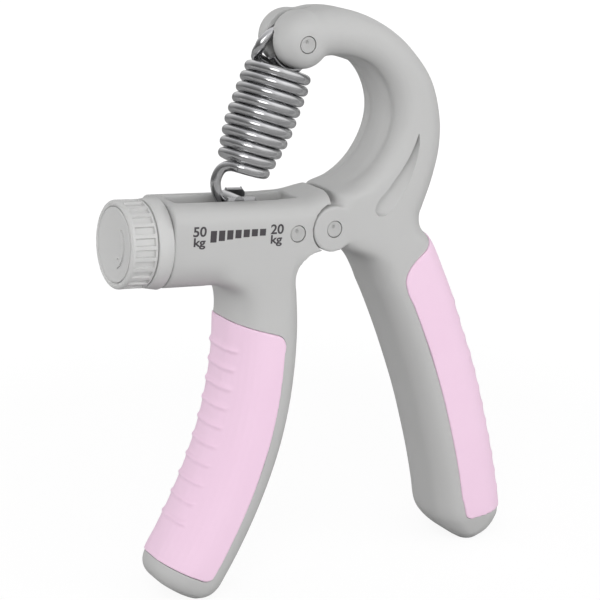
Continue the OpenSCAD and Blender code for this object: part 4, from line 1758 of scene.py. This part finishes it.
@dataclass(frozen=True)
class Studio:
    """A pale floor, a pale world and soft lamps."""

    floor_size: float = 30.0
    near_glow: float = 0.84
    near: float = 0.16
    far: float = 0.42
    floor_bounce: float = 0.45
    floor_paint: float = 0.9
    floor_glow: float = 1.06
    aim_height: float = 0.08
    lamps: tuple[tuple[str, Row, float, float, bool], ...] = (
        ("key", (-0.55, -0.75, 0.75), 2.6, 0.55, True),
        ("front", (0.0, -1.05, 0.2), 4.9, 0.9, False),
        ("left", (-1.0, -0.3, 0.1), 2.6, 0.8, False),
        ("rim", (-0.75, 0.5, 0.12), 2.4, 0.5, False),
        ("fill", (0.75, -0.7, 0.2), 3.2, 0.6, False),
        ("top", (0.05, 0.25, 0.95), 0.2, 0.6, False))

    def floor(self) -> Object:
        """The pale floor, which keeps a faint shadow."""
        bm = bmesh.new()
        bmesh.ops.create_grid(bm, x_segments=1, y_segments=1, size=self.floor_size / 2)
        floor = object_of(bm, "floor")
        made = bpy.data.materials.new("pale floor")
        made.use_nodes = True
        tree = made.node_tree
        tree.nodes.clear()
        out = add(tree, "OutputMaterial")
        matt = add(tree, "BsdfDiffuse")
        paint = add(tree, "Mix", {"data_type": "RGBA"})
        paint.inputs[6].default_value = (*(self.floor_bounce,) * 3, 1.0)
        paint.inputs[7].default_value = (*(self.floor_paint,) * 3, 1.0)
        glow = add(tree, "Emission", Color=(1.0, 1.0, 1.0, 1.0), Strength=self.floor_glow)
        ray = add(tree, "LightPath")
        coords = add(tree, "TexCoord")
        reach = add(tree, "VectorMath", {"operation": "LENGTH"})
        spread = add(tree, "MapRange", From_Min=self.near, From_Max=self.far,
                     To_Min=self.near_glow, To_Max=1.0)
        share = add(tree, "Math", {"operation": "MULTIPLY"})
        mix = add(tree, "MixShader")
        join(tree, (ray, "Is Camera Ray", paint, "Factor"), (paint, 2, matt, "Color"),
             (coords, "Object", reach, 0), (reach, "Value", spread, "Value"),
             (ray, "Is Camera Ray", share, 0), (spread, "Result", share, 1),
             (share, 0, mix, 0), (matt, 0, mix, 1), (glow, 0, mix, 2), (mix, 0, out, 0))
        floor.data.materials.append(made)
        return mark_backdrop(floor)

    def lamp(self, name: str, at: Sequence[float], power: float, size: float,
             glints: bool) -> None:
        """A square soft lamp that points at the grip's middle.

        Args:
            name: The lamp's name.
            at: Where it is, in metres.
            power: Its power.
            size: The length of its sides.
            glints: Whether it shows in shiny surfaces.
        """
        light = bpy.data.lights.new(name, "AREA")
        light.energy, light.size = power, size
        piece = show(name, light)
        piece.visible_glossy = glints
        aim = UP * self.aim_height - Vector(at)
        piece.matrix_world = (Matrix.Translation(at)
                              @ aim.to_track_quat("-Z", "Y").to_matrix().to_4x4())

    def world(self) -> None:
        """White behind the grip, and a softer, darker room in its reflections."""
        world = bpy.data.worlds.new("room")
        bpy.context.scene.world = world
        world.use_nodes = True
        tree = world.node_tree
        back = tree.nodes["Background"]
        coords = add(tree, "TexCoord")
        split = add(tree, "SeparateXYZ")
        ramp = add(tree, "ValToRGB")
        stops = ramp.color_ramp.elements
        stops[0].position, stops[0].color = 0.0, (0.36, 0.36, 0.36, 1.0)
        stops[1].position, stops[1].color = 1.0, (0.72, 0.72, 0.74, 1.0)
        for position, value in ((0.44, 0.60), (0.5, 0.36), (0.6, 0.52), (0.72, 0.66), (0.8, 0.78)):
            stop = stops.new(position)
            stop.color = (value, value, value, 1.0)
        half = add(tree, "MapRange", From_Min=-1.0, From_Max=1.0)
        ray = add(tree, "LightPath")
        mix = add(tree, "Mix", {"data_type": "RGBA"})
        plain = add(tree, "Mix", {"data_type": "RGBA"})
        above = add(tree, "ValToRGB")
        for stop, place, value in zip(above.color_ramp.elements, (0.6, 1.0), (0.65, 0.30)):
            stop.position, stop.color = place, (value, value, value, 1.0)
        side = add(tree, "MapRange", From_Min=-0.8, From_Max=0.3, To_Min=0.3, To_Max=1.45)
        shaded = add(tree, "VectorMath", {"operation": "SCALE"})
        join(tree, (coords, "Generated", split, 0), (split, "Z", half, "Value"),
             (half, "Result", ramp, "Fac"), (half, "Result", above, "Fac"),
             (above, "Color", plain, 6), (ray, "Is Glossy Ray", plain, "Factor"),
             (split, "X", side, "Value"), (ramp, "Color", shaded, 0),
             (side, "Result", shaded, "Scale"), (shaded, "Vector", plain, 7),
             (ray, "Is Camera Ray", mix, "Factor"), (plain, 2, mix, 6),
             (mix, 2, back, "Color"))
        mix.inputs[7].default_value = (1.0, 1.0, 1.0, 1.0)
        back.inputs["Strength"].default_value = 1.0

    def make(self) -> None:
        """Builds the whole studio."""
        bpy.context.scene.view_settings.view_transform = "Standard"
        self.floor()
        self.world()
        for lamp in self.lamps:
            self.lamp(*lamp)


def dress_frame(nodes: dict[str, Object]) -> None:
    """Gives the CAD nodes that show as they are their finishes.

    Args:
        nodes: The frame's nodes by name.
    """
    # The carriage nut takes the same near-black steel that paints shade inside the carriage.
    finishes = {"end_block": HANDLE_PLASTIC, "carriage_nut": DARK_STEEL_AND_SHADE}
    for name in ("block_pin", "hinge_pin", "spring_pin", "hook_pin", "dial_screw", "thrust_washer",
                 "lead_screw", *finishes):
        finish = finishes.get(name, STEEL)
        mesh = nodes[name].data
        mesh.materials.clear()
        mesh.materials.append(finish.material())


def main() -> None:
    """Builds the grip, piece by piece, around the frame."""
    logging.basicConfig(level=logging.INFO, format="%(name)s: %(message)s")
    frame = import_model()
    Camera().make()
    Studio().make()
    dress_frame(frame["nodes"])
    LeftHandle().make()
    RightHandle().make()
    for grip in (LEFT_GRIP, RIGHT_GRIP):
        grip.make()
    for plug in (HINGE_PLUG, BLOCK_PLUG, SPRING_PLUG):
        for side in Side:
            plug.make(side)
    Dial().make()
    Spring().make()
    Carriage().make()
    Scale().make()


if __name__ == "__main__":
    main()
